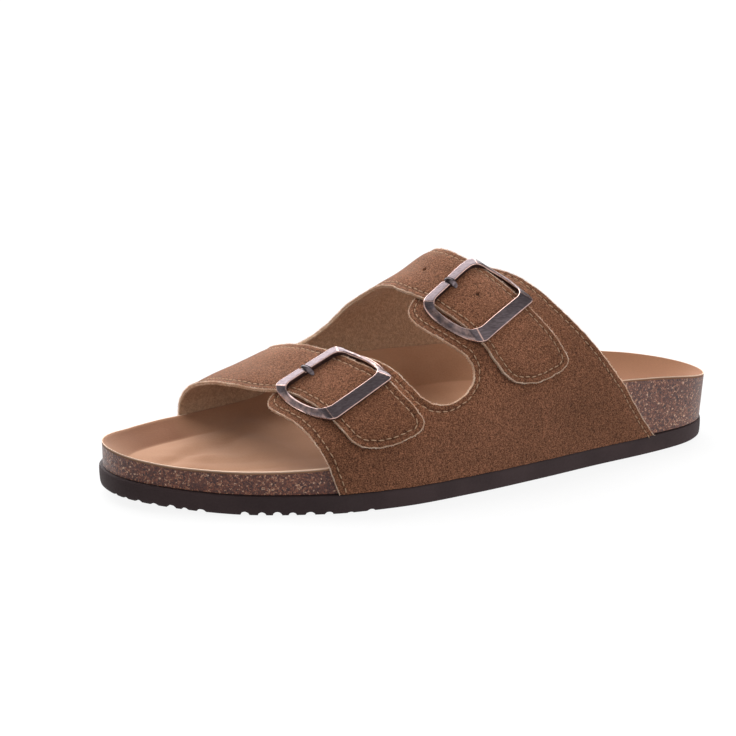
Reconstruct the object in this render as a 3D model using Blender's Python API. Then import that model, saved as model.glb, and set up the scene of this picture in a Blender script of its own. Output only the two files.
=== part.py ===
"""Two-strap sandal, left shoe: outsole, shaped footbed, insole, suede upper and two buckles.

All sizes are in millimetres in a working frame: x from the back of the heel to the toe,
y to the outer side of the foot, z up from the floor. to_part() moves them to the part's
frame, in metres, with the origin under the middle of the sole.
"""
import bmesh
import bpy
import numpy as np

# Driving sizes
SOLE_LENGTH = 275.5
SOLE_THICK = 7.9
PART_MID_X = 137.2
PART_MID_Y = 3.69
TOE_SPRING = 4.0
SPRING_START = 228.0
SPRING_POWER = 1.56
GAP = 0.3
WALL = 2.0
EDGE_STEP = -0.7
INSOLE_THICK = 1.2
UPPER_FOOT = SOLE_THICK + GAP
OUTER_FULLNESS = 1.12
INNER_FULLNESS = 0.86
WALL_SPAN = 25.0
STRAP_LIFT = 1.8
LIFT_FROM = 122.0
LIFT_TO = 82.0

# Outline of the sole: x, y of the outer edge, y of the inner edge
OUTLINE = (
    (0, 0.0, 0.0),
    (2, 10.5, -10.5),
    (8.5, 21.0, -21.5),
    (20.5, 29.0, -30.5),
    (43, 35.4, -35.6),
    (73, 40.8, -36.0),
    (103, 47.0, -35.0),
    (138, 53.0, -36.8),
    (168, 56.0, -42.2),
    (193, 54.0, -47.2),
    (213, 47.8, -49.4),
    (233, 38.2, -48.6),
    (250.5, 27.3, -43.7),
    (264, 16.5, -34.2),
    (272.3, 6.0, -22.0),
    (275.5, -8.0, -8.0),
)

# Footbed: x, inset from the sole's edge, flare of the rim, height of the outer rim, of the inner rim,
# of the hollow, power of the side wall
FOOTBED = (
    (0, 0.5, 1.6, 27.2, 27.2, 19.0, 2.4),
    (14, 0.7, 1.2, 30.2, 28.5, 18.8, 2.4),
    (30, 1.2, 0.5, 32.8, 30.2, 19.0, 2.4),
    (44, 1.6, 0.0, 34.3, 31.8, 19.6, 2.4),
    (60, 1.6, 0.0, 35.5, 33.8, 20.5, 2.4),
    (90, 1.6, 0.0, 34.0, 39.0, 22.5, 2.4),
    (115, 1.6, 0.0, 30.0, 42.0, 23.5, 2.4),
    (138, 1.6, 0.0, 27.0, 42.0, 22.5, 2.6),
    (156, 1.6, 0.0, 23.5, 41.0, 20.5, 2.8),
    (175, 1.6, 0.0, 21.6, 34.0, 17.8, 3.5),
    (194, 1.6, 0.0, 20.0, 24.2, 16.0, 4.5),
    (209, 1.6, 0.0, 18.6, 21.2, 15.0, 4.4),
    (232, 1.6, 0.0, 17.9, 19.2, 13.9, 3.8),
    (254, 1.6, 0.0, 18.9, 18.7, 13.2, 3.8),
    (266, 1.6, 0.0, 20.4, 20.1, 13.4, 3.8),
    (275.5, 1.6, 0.0, 22.2, 22.2, 13.8, 3.8),
)
# Fold of the upper beside the footbed: x, height on the outer side, on the inner side
UPPER_FOLD = (
    (14, 30.4, 29.4),
    (30, 32.4, 31.0),
    (44, 33.6, 32.4),
    (60, 34.0, 34.2),
    (90, 33.0, 39.0),
    (115, 30.0, 42.0),
    (138, 27.0, 42.0),
    (156, 23.5, 41.0),
    (175, 21.8, 34.0),
    (194, 20.8, 24.5),
    (209, 19.6, 22.0),
    (232, 18.2, 20.5),
    (254, 18.2, 19.6),
)
FOOTBED_RINGS = (0.0, 0.05, 0.13, 0.26, 0.44, 0.68, 0.95)
AXIS_HEEL_X = 34.0
AXIS_TOE_X = 246.0

# Instep of the upper: x, height of the crest, y of the crest
INSTEP = (
    (38, 86.0, -2.0),
    (93, 85.8, -1.0),
    (108, 87.6, -1.5),
    (122, 89.2, -2.5),
    (138, 82.2, -2.8),
    (148, 77.2, -3.0),
    (161, 69.6, -3.0),
    (183, 58.0, -3.2),
    (194, 53.2, -3.7),
    (210, 46.2, -4.8),
    (218, 43.0, -5.2),
    (234, 36.0, -6.0),
)

# Patterns of the upper: girth angle from the outer rim (0) over the crest (90) to the inner rim (180),
# WALL_SPAN below the rim on each side down to the sole. Columns: angle, x of front edge, x of rear edge.
OUTER_QUARTER = (
    (-25, 197.8, 41.7),
    (-14, 199.6, 50.2),
    (1, 201.8, 59.9),
    (16, 204.2, 68.8),
    (28, 206.8, 76.4),
    (38, 209.4, 83.1),
    (46, 212.5, 88.2),
    (53, 215.1, 92.0),
    (58, 214.6, 95.1),
)
FRONT_STRAP = (
    (10, 186.7, 169.7),
    (14, 190.8, 162.6),
    (22, 193.9, 163.8),
    (31, 196.4, 167.6),
    (39, 199.0, 170.4),
    (48, 202.5, 174.2),
    (55, 205.4, 178.0),
    (61, 209.7, 180.8),
    (69, 216.0, 184.2),
    (80, 220.2, 188.2),
    (90, 222.7, 191.2),
    (102, 224.5, 193.2),
    (118, 225.8, 193.7),
)
REAR_STRAP = (
    (15, 115.2, 97.2),
    (19, 121.6, 91.0),
    (25, 125.5, 92.3),
    (33, 128.9, 95.7),
    (40, 132.2, 100.0),
    (48, 136.4, 104.8),
    (56, 140.4, 109.8),
    (64, 143.5, 115.0),
    (70, 146.0, 118.7),
    (77, 148.4, 121.9),
    (87, 150.0, 124.2),
    (97, 151.4, 124.8),
    (108, 153.4, 124.0),
)
INNER_QUARTER = (
    (130, 226.6, 115.7),
    (147, 227.8, 103.2),
    (162, 228.8, 90.7),
    (176, 229.4, 78.7),
    (188, 229.7, 68.7),
    (205, 229.7, 58.2),
)

# Notches between the straps: x, girth angle, from the front strap round to the rear strap
OUTER_NOTCH = (
    (175.7, 59.0),
    (169.2, 49.0),
    (165.5, 40.5),
    (162.4, 32.5),
    (158.5, 25.0),
    (152.7, 20.0),
    (145.7, 18.0),
    (139.2, 19.8),
    (135.4, 25.0),
    (136.6, 32.5),
    (140.7, 39.0),
    (145.2, 46.0),
    (149.5, 53.5),
    (151.8, 60.0),
    (151.5, 65.5),
)
INNER_NOTCH = (
    (192.6, 131.0),
    (188.0, 145.0),
    (181.0, 152.5),
    (174.0, 154.5),
    (167.0, 151.5),
    (162.2, 142.5),
    (159.6, 130.0),
    (157.0, 118.0),
)

# Ends of the two tabs of the outer quarter, hidden under the straps: x, girth angle
FRONT_TAB_END = (
    (210.2, 62.5),
    (202.2, 65.0),
    (190.2, 65.5),
    (181.2, 63.5),
)
REAR_TAB_END = (
    (147.2, 70.0),
    (136.2, 74.5),
    (122.2, 74.5),
    (110.2, 70.5),
    (101.2, 65.5),
)

# Buckles: the four corners on the strap as x and girth angle, front and rear end of the top bar,
# then rear and front end of the lower bar
BUCKLES = {
    "front": ((210.5, 61.5), (181.8, 68.1), (168.9, 39.5), (196.3, 29.4)),
    "rear": ((147.0, 62.8), (119.3, 72.0), (100.3, 47.8), (129.8, 33.9)),
}
BUCKLE_LONG = 31.0
BUCKLE_TALL = 30.0
TOP_BAR = 3.5
LOWER_BAR = 5.5
SIDE_BAR = 2.9
SIDE_BOW = 3.0
SIDE_SINK = 1.5
SINK_REACH = 9.0
BUCKLE_CORNER = 2.2
BUCKLE_TOP_CORNER = 3.4
WINDOW_CORNER = 3.0
BUCKLE_CHAMFER = 0.5
BAR_FOOT = STRAP_LIFT + GAP
TOP_BAR_DEEP = 2.1
LOWER_BAR_DEEP = 1.9
ARM_DIP = 1.0
ARM_SLOPE = 1.9
LOWER_BAR_SLOPE = 0.9
ARCH_KEPT = 0.8
BAR_RAISE = 0.4
PIN_RADIUS = 0.9
PIN_ACROSS = -1.3
NOTCH_WIDE = 3.0

# Tread notches in the lower edge of the sole: x of each, in the outer and the inner edge
TREAD_X = (184.5, 201.5, 208.5, 215, 220.5, 226, 232, 247, 252.5, 257)
TREAD_LONG = 3.2
TREAD_DEEP = 1.3
TREAD_REACH = 9.0


def monotone(rows, column, key=None):
    """A smooth function through one column of a table, with no overshoot between its rows."""
    xs = np.array([row[0] for row in rows], float)
    if key is not None:
        xs = key(xs)
    ys = np.array([row[column] for row in rows], float)
    step = np.diff(xs)
    rise = np.diff(ys) / step
    slope = np.zeros(len(xs))
    slope[0] = rise[0]
    slope[-1] = rise[-1]
    for i in range(1, len(xs) - 1):
        if rise[i - 1] * rise[i] > 0:
            before = 2 * step[i] + step[i - 1]
            after = step[i] + 2 * step[i - 1]
            slope[i] = (before + after) / (before / rise[i - 1] + after / rise[i])

    def value(x):
        x = np.asarray(x, float)
        if key is not None:
            x = key(x)
        x = np.clip(x, xs[0], xs[-1])
        i = np.clip(np.searchsorted(xs, x, side="right") - 1, 0, len(xs) - 2)
        t = (x - xs[i]) / step[i]
        near = ys[i] * (1 + 2 * t) * (1 - t) ** 2 + step[i] * slope[i] * t * (1 - t) ** 2
        far = ys[i + 1] * t * t * (3 - 2 * t) + step[i] * slope[i + 1] * t * t * (t - 1)
        return near + far

    return value


def around(x):
    """Angle round the sole's length, which makes both ends of the outline round."""
    return np.arccos(np.clip(1 - 2 * np.asarray(x, float) / SOLE_LENGTH, -1, 1))


outer_edge = monotone(OUTLINE, 1, around)
inner_edge = monotone(OUTLINE, 2, around)
bed_inset = monotone(FOOTBED, 1)
bed_flare = monotone(FOOTBED, 2)
outer_rim = monotone(FOOTBED, 3)
inner_rim = monotone(FOOTBED, 4)
hollow = monotone(FOOTBED, 5)
wall_power = monotone(FOOTBED, 6)
outer_fold = monotone(UPPER_FOLD, 1)
inner_fold = monotone(UPPER_FOLD, 2)
crest_height = monotone(INSTEP, 1)
crest_side = monotone(INSTEP, 2)


def spring(x):
    """Rise of the sole towards the toe."""
    past = np.clip((np.asarray(x, float) - SPRING_START) / (SOLE_LENGTH - SPRING_START), 0, 1)
    return TOE_SPRING * past ** SPRING_POWER


def to_part(points):
    """Working millimetres to the part's frame in metres."""
    moved = np.asarray(points, float) - (PART_MID_X, PART_MID_Y, 0)
    return moved * 0.001


def sole_loop(inset, per_side):
    """Closed outline, heel to toe along the outer side and back along the inner, moved inwards."""
    turn = np.linspace(0, np.pi, per_side + 1)
    x = SOLE_LENGTH / 2 * (1 - np.cos(turn))
    outer = np.stack([x, outer_edge(x)], -1)
    inner = np.stack([x, inner_edge(x)], -1)[-2:0:-1]
    loop = np.concatenate([outer, inner])
    along = np.roll(loop, -1, 0) - np.roll(loop, 1, 0)
    along /= np.linalg.norm(along, axis=1)[:, None]
    inward = np.stack([along[:, 1], -along[:, 0]], -1)
    return loop + inward * np.broadcast_to(inset, len(loop))[:, None]


def loft(rings):
    """Closed solid through a stack of loops, with each end closed in strips across the sole."""
    bm = bmesh.new()
    rows = [[bm.verts.new(p) for p in to_part(ring)] for ring in rings]
    count = len(rows[0])
    for low, high in zip(rows, rows[1:]):
        for k in range(count):
            nxt = (k + 1) % count
            bm.faces.new((low[k], low[nxt], high[nxt], high[k]))
    for row in (rows[0], rows[-1]):
        for k in range(count // 2):
            strip = [row[k], row[k + 1], row[(count - k - 1) % count], row[(count - k) % count]]
            bm.faces.new(list(dict.fromkeys(strip)))
    face_outwards(bm)
    return bm


def level(loop, height):
    """Points of a loop at a height, or at a height for each point."""
    return np.column_stack([loop, np.broadcast_to(height, len(loop))])


def foot_rings(drop):
    """Rings of the surface that carries the foot, from the rim to the middle, lowered by drop."""
    per_side = 42
    plain = sole_loop(0.0, per_side)[:, 0]
    foot = sole_loop(bed_inset(plain), per_side)
    edge = sole_loop(bed_inset(plain) - bed_flare(plain), per_side)
    on_outer = np.arange(len(edge)) <= per_side
    rim = np.where(on_outer, outer_rim(plain), inner_rim(plain))
    axis_x = AXIS_HEEL_X + (AXIS_TOE_X - AXIS_HEEL_X) * plain / SOLE_LENGTH
    axis = np.stack([axis_x, (outer_edge(axis_x) + inner_edge(axis_x)) / 2], -1)
    rings = []
    for share in FOOTBED_RINGS:
        loop = edge + (axis - edge) * share
        low = hollow(loop[:, 0])
        height = low + (rim - low) * (1 - share) ** wall_power(loop[:, 0])
        rings.append(level(loop, height - drop))
    return foot, rings


def last_point(x, angle):
    """Outer face of the upper's lower layer at a place along the shoe and a girth angle."""
    foot_outer = outer_edge(x) - EDGE_STEP
    foot_inner = inner_edge(x) + EDGE_STEP
    turn = np.radians(np.clip(angle, 0, 180))
    on_outer = angle <= 90
    power = np.where(on_outer, OUTER_FULLNESS, INNER_FULLNESS)
    side = np.where(on_outer, foot_outer, foot_inner)
    rim = np.where(on_outer, outer_fold(x), inner_fold(x))
    y = crest_side(x) + (side - crest_side(x)) * np.abs(np.cos(turn)) ** power
    z = rim + (crest_height(x) - rim) * np.sin(turn) ** power
    below = np.clip(np.maximum(-angle, angle - 180) / WALL_SPAN, 0, 1)
    foot = UPPER_FOOT + spring(x)
    return np.stack([x, y, np.where(below > 0, rim + (foot - rim) * below, z)], -1)


def on_last(x, angle, lift):
    """A point lifted off that face along its normal."""
    x = np.asarray(x, float)
    angle = np.asarray(angle, float)
    along = last_point(x + 0.4, angle) - last_point(x - 0.4, angle)
    inside = np.clip(angle, -WALL_SPAN + 0.4, 180 + WALL_SPAN - 0.4)
    girth = last_point(x, inside + 0.4) - last_point(x, inside - 0.4)
    normal = np.cross(girth, along)
    normal /= np.linalg.norm(normal, axis=-1)[..., None]
    return last_point(x, angle) + normal * np.asarray(lift, float)[..., None]


def face_outwards(bm):
    """Normals of a closed mesh, renewed after its points have moved."""
    bm.normal_update()
    bmesh.ops.recalc_face_normals(bm, faces=bm.faces)


def make_object(name, bm, colour, roughness, metallic=0.0):
    """A named piece with its own material, shaded smooth but for its sharp edges."""
    mesh = bpy.data.meshes.new(name)
    bm.to_mesh(mesh)
    bm.free()
    piece = bpy.data.objects.new(name, mesh)
    material = bpy.data.materials.new(name)
    material.use_nodes = True
    shader = material.node_tree.nodes["Principled BSDF"]
    shader.inputs["Base Color"].default_value = (*colour, 1.0)
    shader.inputs["Roughness"].default_value = roughness
    shader.inputs["Metallic"].default_value = metallic
    mesh.materials.append(material)
    mesh.shade_smooth()
    mesh.set_sharp_from_angle(angle=np.radians(35))
    parts.objects.link(piece)
    piece.parent = root
    return piece


def make_cutter(name, bm):
    """A tool body that shapes a piece and isn't one itself."""
    mesh = bpy.data.meshes.new(name)
    bm.to_mesh(mesh)
    bm.free()
    cutter = bpy.data.objects.new(name, mesh)
    cutter.hide_render = True
    cutter.display_type = "WIRE"
    cutters.objects.link(cutter)
    return cutter


def combine(piece, other, operation):
    """Boolean of two objects, kept on the first as a modifier."""
    step = piece.modifiers.new(operation.title(), "BOOLEAN")
    step.operation = operation
    step.solver = "EXACT"
    step.object = other
    return step


def evaluated(thing):
    """The mesh of an object as it stands after its modifiers or its curve's fill."""
    bpy.context.view_layer.update()
    graph = bpy.context.evaluated_depsgraph_get()
    return bpy.data.meshes.new_from_object(thing.evaluated_get(graph))


def flat_pattern(name, points, corners):
    """A pattern piece cut flat: x across, girth angle up, WALL thick below its outer face."""
    curve = bpy.data.curves.new(name, "CURVE")
    curve.dimensions = "2D"
    curve.fill_mode = "BOTH"
    curve.extrude = WALL / 2
    curve.resolution_u = 3
    spline = curve.splines.new("BEZIER")
    spline.bezier_points.add(len(points) - 1)
    for point, place in zip(spline.bezier_points, points):
        point.co = (place[0], place[1], 0)
        sharp = place in corners
        point.handle_left_type = "VECTOR" if sharp else "AUTO"
        point.handle_right_type = "VECTOR" if sharp else "AUTO"
    spline.use_cyclic_u = True
    drawn = bpy.data.objects.new(name, curve)
    cutters.objects.link(drawn)
    bm = bmesh.new()
    bm.from_mesh(evaluated(drawn))
    bpy.data.objects.remove(drawn)
    bmesh.ops.remove_doubles(bm, verts=bm.verts, dist=0.001)
    bmesh.ops.dissolve_limit(bm, angle_limit=0.01, verts=bm.verts, edges=bm.edges)
    bmesh.ops.translate(bm, verts=bm.verts, vec=(0, 0, -WALL / 2))
    face_outwards(bm)
    return bm


def score(bm, axis, places):
    """Lines across a flat pattern, where it can bend."""
    for place in places:
        at = [0.0, 0.0, 0.0]
        facing = [0.0, 0.0, 0.0]
        at[axis] = float(place)
        facing[axis] = 1.0
        every = list(bm.verts) + list(bm.edges) + list(bm.faces)
        bmesh.ops.bisect_plane(bm, geom=every, dist=0.0005, plane_co=at, plane_no=facing)


def strap_lift(angle):
    """How far the straps have risen to pass over the outer quarter."""
    t = np.clip((LIFT_FROM - angle) / (LIFT_FROM - LIFT_TO), 0, 1)
    return STRAP_LIFT * t * t * (3 - 2 * t)


def column(rows, which):
    return [(row[which], row[0]) for row in rows]


def make_upper():
    """Inner quarter with both straps, laid over the outer quarter, fused flat and then lasted."""
    quarter_loop = (
        column(OUTER_QUARTER, 1) + list(FRONT_TAB_END) + list(OUTER_NOTCH)
        + list(REAR_TAB_END) + column(OUTER_QUARTER, 2)[::-1]
    )
    strap_loop = (
        column(INNER_QUARTER, 1)[::-1] + column(FRONT_STRAP, 1)[::-1] + column(FRONT_STRAP, 2)
        + list(INNER_NOTCH) + column(REAR_STRAP, 1)[::-1] + column(REAR_STRAP, 2)
        + column(INNER_QUARTER, 2)
    )
    quarter = flat_pattern("outer_quarter", quarter_loop, (quarter_loop[0], quarter_loop[-1]))
    straps = flat_pattern("inner_quarter", strap_loop, (strap_loop[0], strap_loop[-1]))
    score(straps, 1, np.linspace(LIFT_TO, LIFT_FROM, 7))
    for vert in straps.verts:
        vert.co.z += strap_lift(vert.co.y)
    lower = make_cutter("outer_quarter", quarter)
    upper = make_cutter("inner_quarter", straps)
    combine(upper, lower, "UNION")
    bm = bmesh.new()
    bm.from_mesh(evaluated(upper))
    bpy.data.objects.remove(upper)
    bpy.data.objects.remove(lower)
    bmesh.ops.dissolve_limit(bm, angle_limit=0.005, verts=bm.verts, edges=bm.edges)
    score(bm, 0, list(range(54, 180, 11)) + list(range(180, 231, 6)))
    score(bm, 1, range(-10, 200, 10))
    bmesh.ops.triangulate(bm, faces=bm.faces)
    flat = np.array([vert.co[:] for vert in bm.verts])
    lasted = to_part(on_last(flat[:, 0], flat[:, 1], flat[:, 2]))
    for vert, place in zip(bm.verts, lasted):
        vert.co = place
    face_outwards(bm)
    return make_object("upper", bm, (0.165, 0.082, 0.045), 0.95)


def make_outsole():
    """Rubber outsole with a rounded lower edge, toe spring and tread notches in that edge."""
    rings = []
    for inset, height in ((1.1, 0.0), (0.3, 1.2), (0.0, SOLE_THICK - 0.5), (0.3, SOLE_THICK)):
        loop = sole_loop(inset, 48)
        rings.append(level(loop, height + spring(loop[:, 0])))
    sole = make_object("outsole", loft(rings), (0.035, 0.024, 0.024), 0.85)
    bm = bmesh.new()
    for x in TREAD_X:
        for edge, side in ((outer_edge, 1), (inner_edge, -1)):
            y = edge(x) - side * (TREAD_REACH / 2 - 2)
            made = bmesh.ops.create_cone(
                bm, cap_ends=True, segments=6, radius1=TREAD_LONG / 2, radius2=TREAD_LONG / 2,
                depth=TREAD_REACH)
            turned = [(vert, vert.co.copy()) for vert in made["verts"]]
            for vert, was in turned:
                tall = was.y * TREAD_DEEP / (TREAD_LONG / 2 * np.sqrt(0.75))
                vert.co = to_part((x + was.x, y + was.z, spring(x) + tall))
    face_outwards(bm)
    combine(sole, make_cutter("tread_notches", bm), "DIFFERENCE")
    return sole


def make_footbed():
    """Shaped bed that stands on the outsole and carries the insole."""
    foot, top = foot_rings(INSOLE_THICK + GAP)
    floor = level(foot, SOLE_THICK + GAP + spring(foot[:, 0]))
    return make_object("footbed", loft([floor] + top), (0.105, 0.055, 0.035), 0.9)


def make_insole():
    """Suede cover on the footbed, with its cut edge at the rim."""
    under = foot_rings(INSOLE_THICK)[1]
    over = foot_rings(0.0)[1]
    return make_object("insole", loft(under[::-1] + over), (0.42, 0.245, 0.145), 0.95)


def on_strap(which, across, along, lift):
    """A point above the lasted strap from the buckle's own millimetres."""
    top_front, top_rear, low_rear, low_front = (np.array(corner) for corner in BUCKLES[which])
    u = np.asarray(across, float)[..., None] / BUCKLE_LONG + 0.5
    v = np.asarray(along, float)[..., None] / BUCKLE_TALL + 0.5
    top = top_front + (top_rear - top_front) * u
    low = low_front + (low_rear - low_front) * u
    place = top + (low - top) * v
    return on_last(place[..., 0], place[..., 1], np.broadcast_to(lift, place.shape[:-1]))


def buckle_place(which, across, along, lift):
    """The same for rigid metal: its bars are straight, and arch less than the strap below them."""
    across, along, lift = np.broadcast_arrays(across, along, lift)
    half_long = BUCKLE_LONG / 2
    half_tall = BUCKLE_TALL / 2
    ends = np.array([-half_long, half_long, half_long, -half_long])
    heights = np.array([-half_tall, -half_tall, half_tall, half_tall])
    corner = on_strap(which, ends, heights, BAR_FOOT)
    proud = on_strap(which, ends, heights, BAR_FOOT + 1.0) - corner
    u = (across / BUCKLE_LONG + 0.5)[..., None]
    v = (along / BUCKLE_TALL + 0.5)[..., None]
    top = corner[0] * (1 - u) + corner[1] * u
    low = corner[3] * (1 - u) + corner[2] * u
    plane = top * (1 - v) + low * v
    facing = (proud[0] + proud[1]) * (1 - v) + (proud[2] + proud[3]) * v
    facing /= np.linalg.norm(facing, axis=-1)[..., None]
    arch = ((on_strap(which, across, along, BAR_FOOT) - plane) * facing).sum(-1)
    on_bar = np.clip(np.abs(along) / half_tall * 2 - 0.6, 0, 1)
    arch = arch * (1 - on_bar * (1 - ARCH_KEPT)) + BAR_RAISE * on_bar
    return plane + facing * (arch + lift - BAR_FOOT)[..., None]


def rounded_loop(left, right, top, bottom, low_radius, top_radius):
    """Rounded rectangle with seven points on each corner."""
    quarter = np.linspace(0, np.pi / 2, 7)
    corners = (
        (right - low_radius, bottom - low_radius, low_radius, 0),
        (left + low_radius, bottom - low_radius, low_radius, 1),
        (left + top_radius, top + top_radius, top_radius, 2),
        (right - top_radius, top + top_radius, top_radius, 3),
    )
    points = []
    for x, y, radius, turns in corners:
        angle = quarter + turns * np.pi / 2
        points.append(np.stack([x + radius * np.cos(angle), y + radius * np.sin(angle)], -1))
    return np.concatenate(points)


def subdivide_loop(loop, parts):
    """The same loop with the long runs between its corners split."""
    points = []
    for k, here in enumerate(loop):
        there = loop[(k + 1) % len(loop)]
        count = parts if np.linalg.norm(there - here) > 6 else 1
        points += [here + (there - here) * i / count for i in range(count)]
    return np.array(points)


def bowed(loop):
    """A loop of the buckle with its two sides bowed outwards."""
    reach = np.cos(np.pi * np.clip(loop[:, 1] / BUCKLE_TALL, -0.5, 0.5))
    side = np.clip(loop[:, 0] / (BUCKLE_LONG / 2 - SIDE_BAR), -1, 1)
    return np.column_stack([loop[:, 0] + SIDE_BOW * reach * side ** 3, loop[:, 1]])


def make_buckle(which):
    """Cast frame on the strap: narrow top bar with a notch, bowed sloping arms, wide flat lower bar."""
    half_long = BUCKLE_LONG / 2
    half_tall = BUCKLE_TALL / 2
    outer = rounded_loop(
        -half_long, half_long, -half_tall, half_tall, BUCKLE_CORNER, BUCKLE_TOP_CORNER)
    window = rounded_loop(
        SIDE_BAR - half_long, half_long - SIDE_BAR, TOP_BAR - half_tall, half_tall - LOWER_BAR,
        WINDOW_CORNER, WINDOW_CORNER)
    outer = bowed(subdivide_loop(outer, 6))
    window = bowed(subdivide_loop(window, 6))
    share = np.clip(outer[:, 1] / BUCKLE_TALL + 0.5, 0, 1)
    sunk = np.clip(1 - (outer[:, 1] / SINK_REACH) ** 2, 0, 1) ** 2
    foot = BAR_FOOT - SIDE_SINK * sunk
    top = BAR_FOOT + TOP_BAR_DEEP + (LOWER_BAR_DEEP - TOP_BAR_DEEP) * share - ARM_DIP * sunk
    slope = np.maximum(ARM_SLOPE * sunk, LOWER_BAR_SLOPE * (share > 0.8))
    inward = (window - outer) / np.linalg.norm(window - outer, axis=1)[:, None] * BUCKLE_CHAMFER
    section = (
        (outer, foot), (outer, top - slope - BUCKLE_CHAMFER), (outer + inward, top - slope),
        (window - inward, top), (window, top - BUCKLE_CHAMFER), (window, foot),
    )
    bm = bmesh.new()
    rows = []
    for loop, lift in section:
        places = to_part(buckle_place(which, loop[:, 0], loop[:, 1], lift))
        rows.append([bm.verts.new(place) for place in places])
    count = len(outer)
    for low, high in zip(rows, rows[1:] + rows[:1]):
        for k in range(count):
            nxt = (k + 1) % count
            bm.faces.new((low[k], low[nxt], high[nxt], high[k]))
    bmesh.ops.triangulate(bm, faces=bm.faces)
    face_outwards(bm)
    frame = make_object("buckle_" + which, bm, (0.115, 0.075, 0.065), 0.38, 1.0)
    bm = bmesh.new()
    bmesh.ops.create_cube(bm, size=1.0)
    for vert in bm.verts:
        across = PIN_ACROSS + vert.co.x * NOTCH_WIDE
        along = -half_tall + TOP_BAR / 2 + vert.co.y * 2 * TOP_BAR
        lift = BAR_FOOT + 0.7 + (vert.co.z + 0.5) * 6
        vert.co = to_part(buckle_place(which, across, along, lift))
    face_outwards(bm)
    combine(frame, make_cutter("notch_" + which, bm), "DIFFERENCE")
    return frame


def make_pin(which):
    """Prong that comes up in the window and lies in the notch of the top bar."""
    start = -BUCKLE_TALL / 2
    route = ((start + 5.0, 3.1), (start + 4.2, 3.8), (start + 2.8, 4.3), (start + 0.8, 4.4))
    curve = bpy.data.curves.new("buckle_pin_" + which, "CURVE")
    curve.dimensions = "3D"
    curve.bevel_depth = PIN_RADIUS * 0.001
    curve.bevel_resolution = 2
    curve.use_fill_caps = True
    spline = curve.splines.new("POLY")
    spline.points.add(len(route) - 1)
    for k, (point, (along, lift)) in enumerate(zip(spline.points, route)):
        point.co = (*to_part(buckle_place(which, PIN_ACROSS, along, lift)), 1)
        point.radius = 1.0 - 0.08 * k
    drawn = bpy.data.objects.new("pin_route_" + which, curve)
    cutters.objects.link(drawn)
    bm = bmesh.new()
    bm.from_mesh(evaluated(drawn))
    bpy.data.objects.remove(drawn)
    bmesh.ops.remove_doubles(bm, verts=bm.verts, dist=0.00001)
    face_outwards(bm)
    return make_object("buckle_pin_" + which, bm, (0.45, 0.33, 0.28), 0.35, 1.0)


for leftover in list(bpy.data.objects):
    bpy.data.objects.remove(leftover)
parts = bpy.data.collections.new("two_strap_sandal")
cutters = bpy.data.collections.new("cutters")
bpy.context.scene.collection.children.link(parts)
bpy.context.scene.collection.children.link(cutters)
root = bpy.data.objects.new("sandal", None)
parts.objects.link(root)

make_outsole()
make_footbed()
make_insole()
make_upper()
for buckle in BUCKLES:
    make_buckle(buckle)
    make_pin(buckle)
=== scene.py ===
# %% [markdown]
# # Dressing a buckled suede sandal
#
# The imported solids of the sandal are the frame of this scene: every size and place comes from them. What
# they lack is what leather, cork and cast metal look like. Each step below takes one piece of the shoe, says
# what it is on the real object, and makes a finer mesh and a finish for it.

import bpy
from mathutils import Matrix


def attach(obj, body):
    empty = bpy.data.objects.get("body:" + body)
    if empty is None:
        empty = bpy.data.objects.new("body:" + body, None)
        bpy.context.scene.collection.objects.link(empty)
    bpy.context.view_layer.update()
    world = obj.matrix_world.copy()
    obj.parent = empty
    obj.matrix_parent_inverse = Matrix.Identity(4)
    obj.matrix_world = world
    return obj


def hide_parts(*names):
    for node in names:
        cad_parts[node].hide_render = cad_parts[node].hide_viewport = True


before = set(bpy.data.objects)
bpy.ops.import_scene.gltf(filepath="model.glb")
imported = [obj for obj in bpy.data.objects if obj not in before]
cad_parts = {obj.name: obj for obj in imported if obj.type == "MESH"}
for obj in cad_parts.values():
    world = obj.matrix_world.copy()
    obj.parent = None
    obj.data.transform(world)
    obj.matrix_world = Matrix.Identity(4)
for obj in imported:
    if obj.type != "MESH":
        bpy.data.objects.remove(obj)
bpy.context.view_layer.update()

import bmesh
import bpy
import numpy as np
from mathutils import Vector, noise
from mathutils.geometry import delaunay_2d_cdt

print("solids:", ", ".join(sorted(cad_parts)))

# %% [markdown]
# ## The camera
#
# The photograph looks at the outer side of the left shoe from the front, a little above it, through a long
# lens. The long lens keeps the sole's two edges nearly parallel. The frame is shifted instead of turned,
# because the shoe stands right of the middle.

# %% Camera
VIEW_TARGET = Vector((-0.0010, -0.0037, 0.0300))
VIEW_TURN = np.radians(25.5)
VIEW_RISE = np.radians(15.0)
VIEW_DISTANCE = 0.8
LENS_MM = 91.5
SENSOR_MM = 36.0
FRAME_SHIFT = (-0.0740, 0.0326)


def in_scene(name, data):
    """A new object at the origin, linked to the scene."""
    made = bpy.data.objects.new(name, data)
    bpy.context.scene.collection.objects.link(made)
    return made


towards_eye = Vector((
    np.sin(VIEW_TURN) * np.cos(VIEW_RISE), np.cos(VIEW_TURN) * np.cos(VIEW_RISE), np.sin(VIEW_RISE)))
lens = bpy.data.cameras.new("photo_view")
lens.lens = LENS_MM
lens.sensor_width = SENSOR_MM
lens.shift_x, lens.shift_y = FRAME_SHIFT
camera = in_scene("photo_view", lens)
camera.location = VIEW_TARGET + towards_eye * VIEW_DISTANCE
camera.rotation_euler = towards_eye.to_track_quat("Z", "Y").to_euler()
bpy.context.scene.camera = camera
print("camera at", [round(v, 3) for v in camera.location])

# %% [markdown]
# ## Sums in a material
#
# A finish is a net of nodes, and most of them only add, multiply or compare. One small class lets those be
# written as sums: `1 - mask` adds a Math node and links it. A second class holds one material and adds every
# other node through one method.


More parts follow.
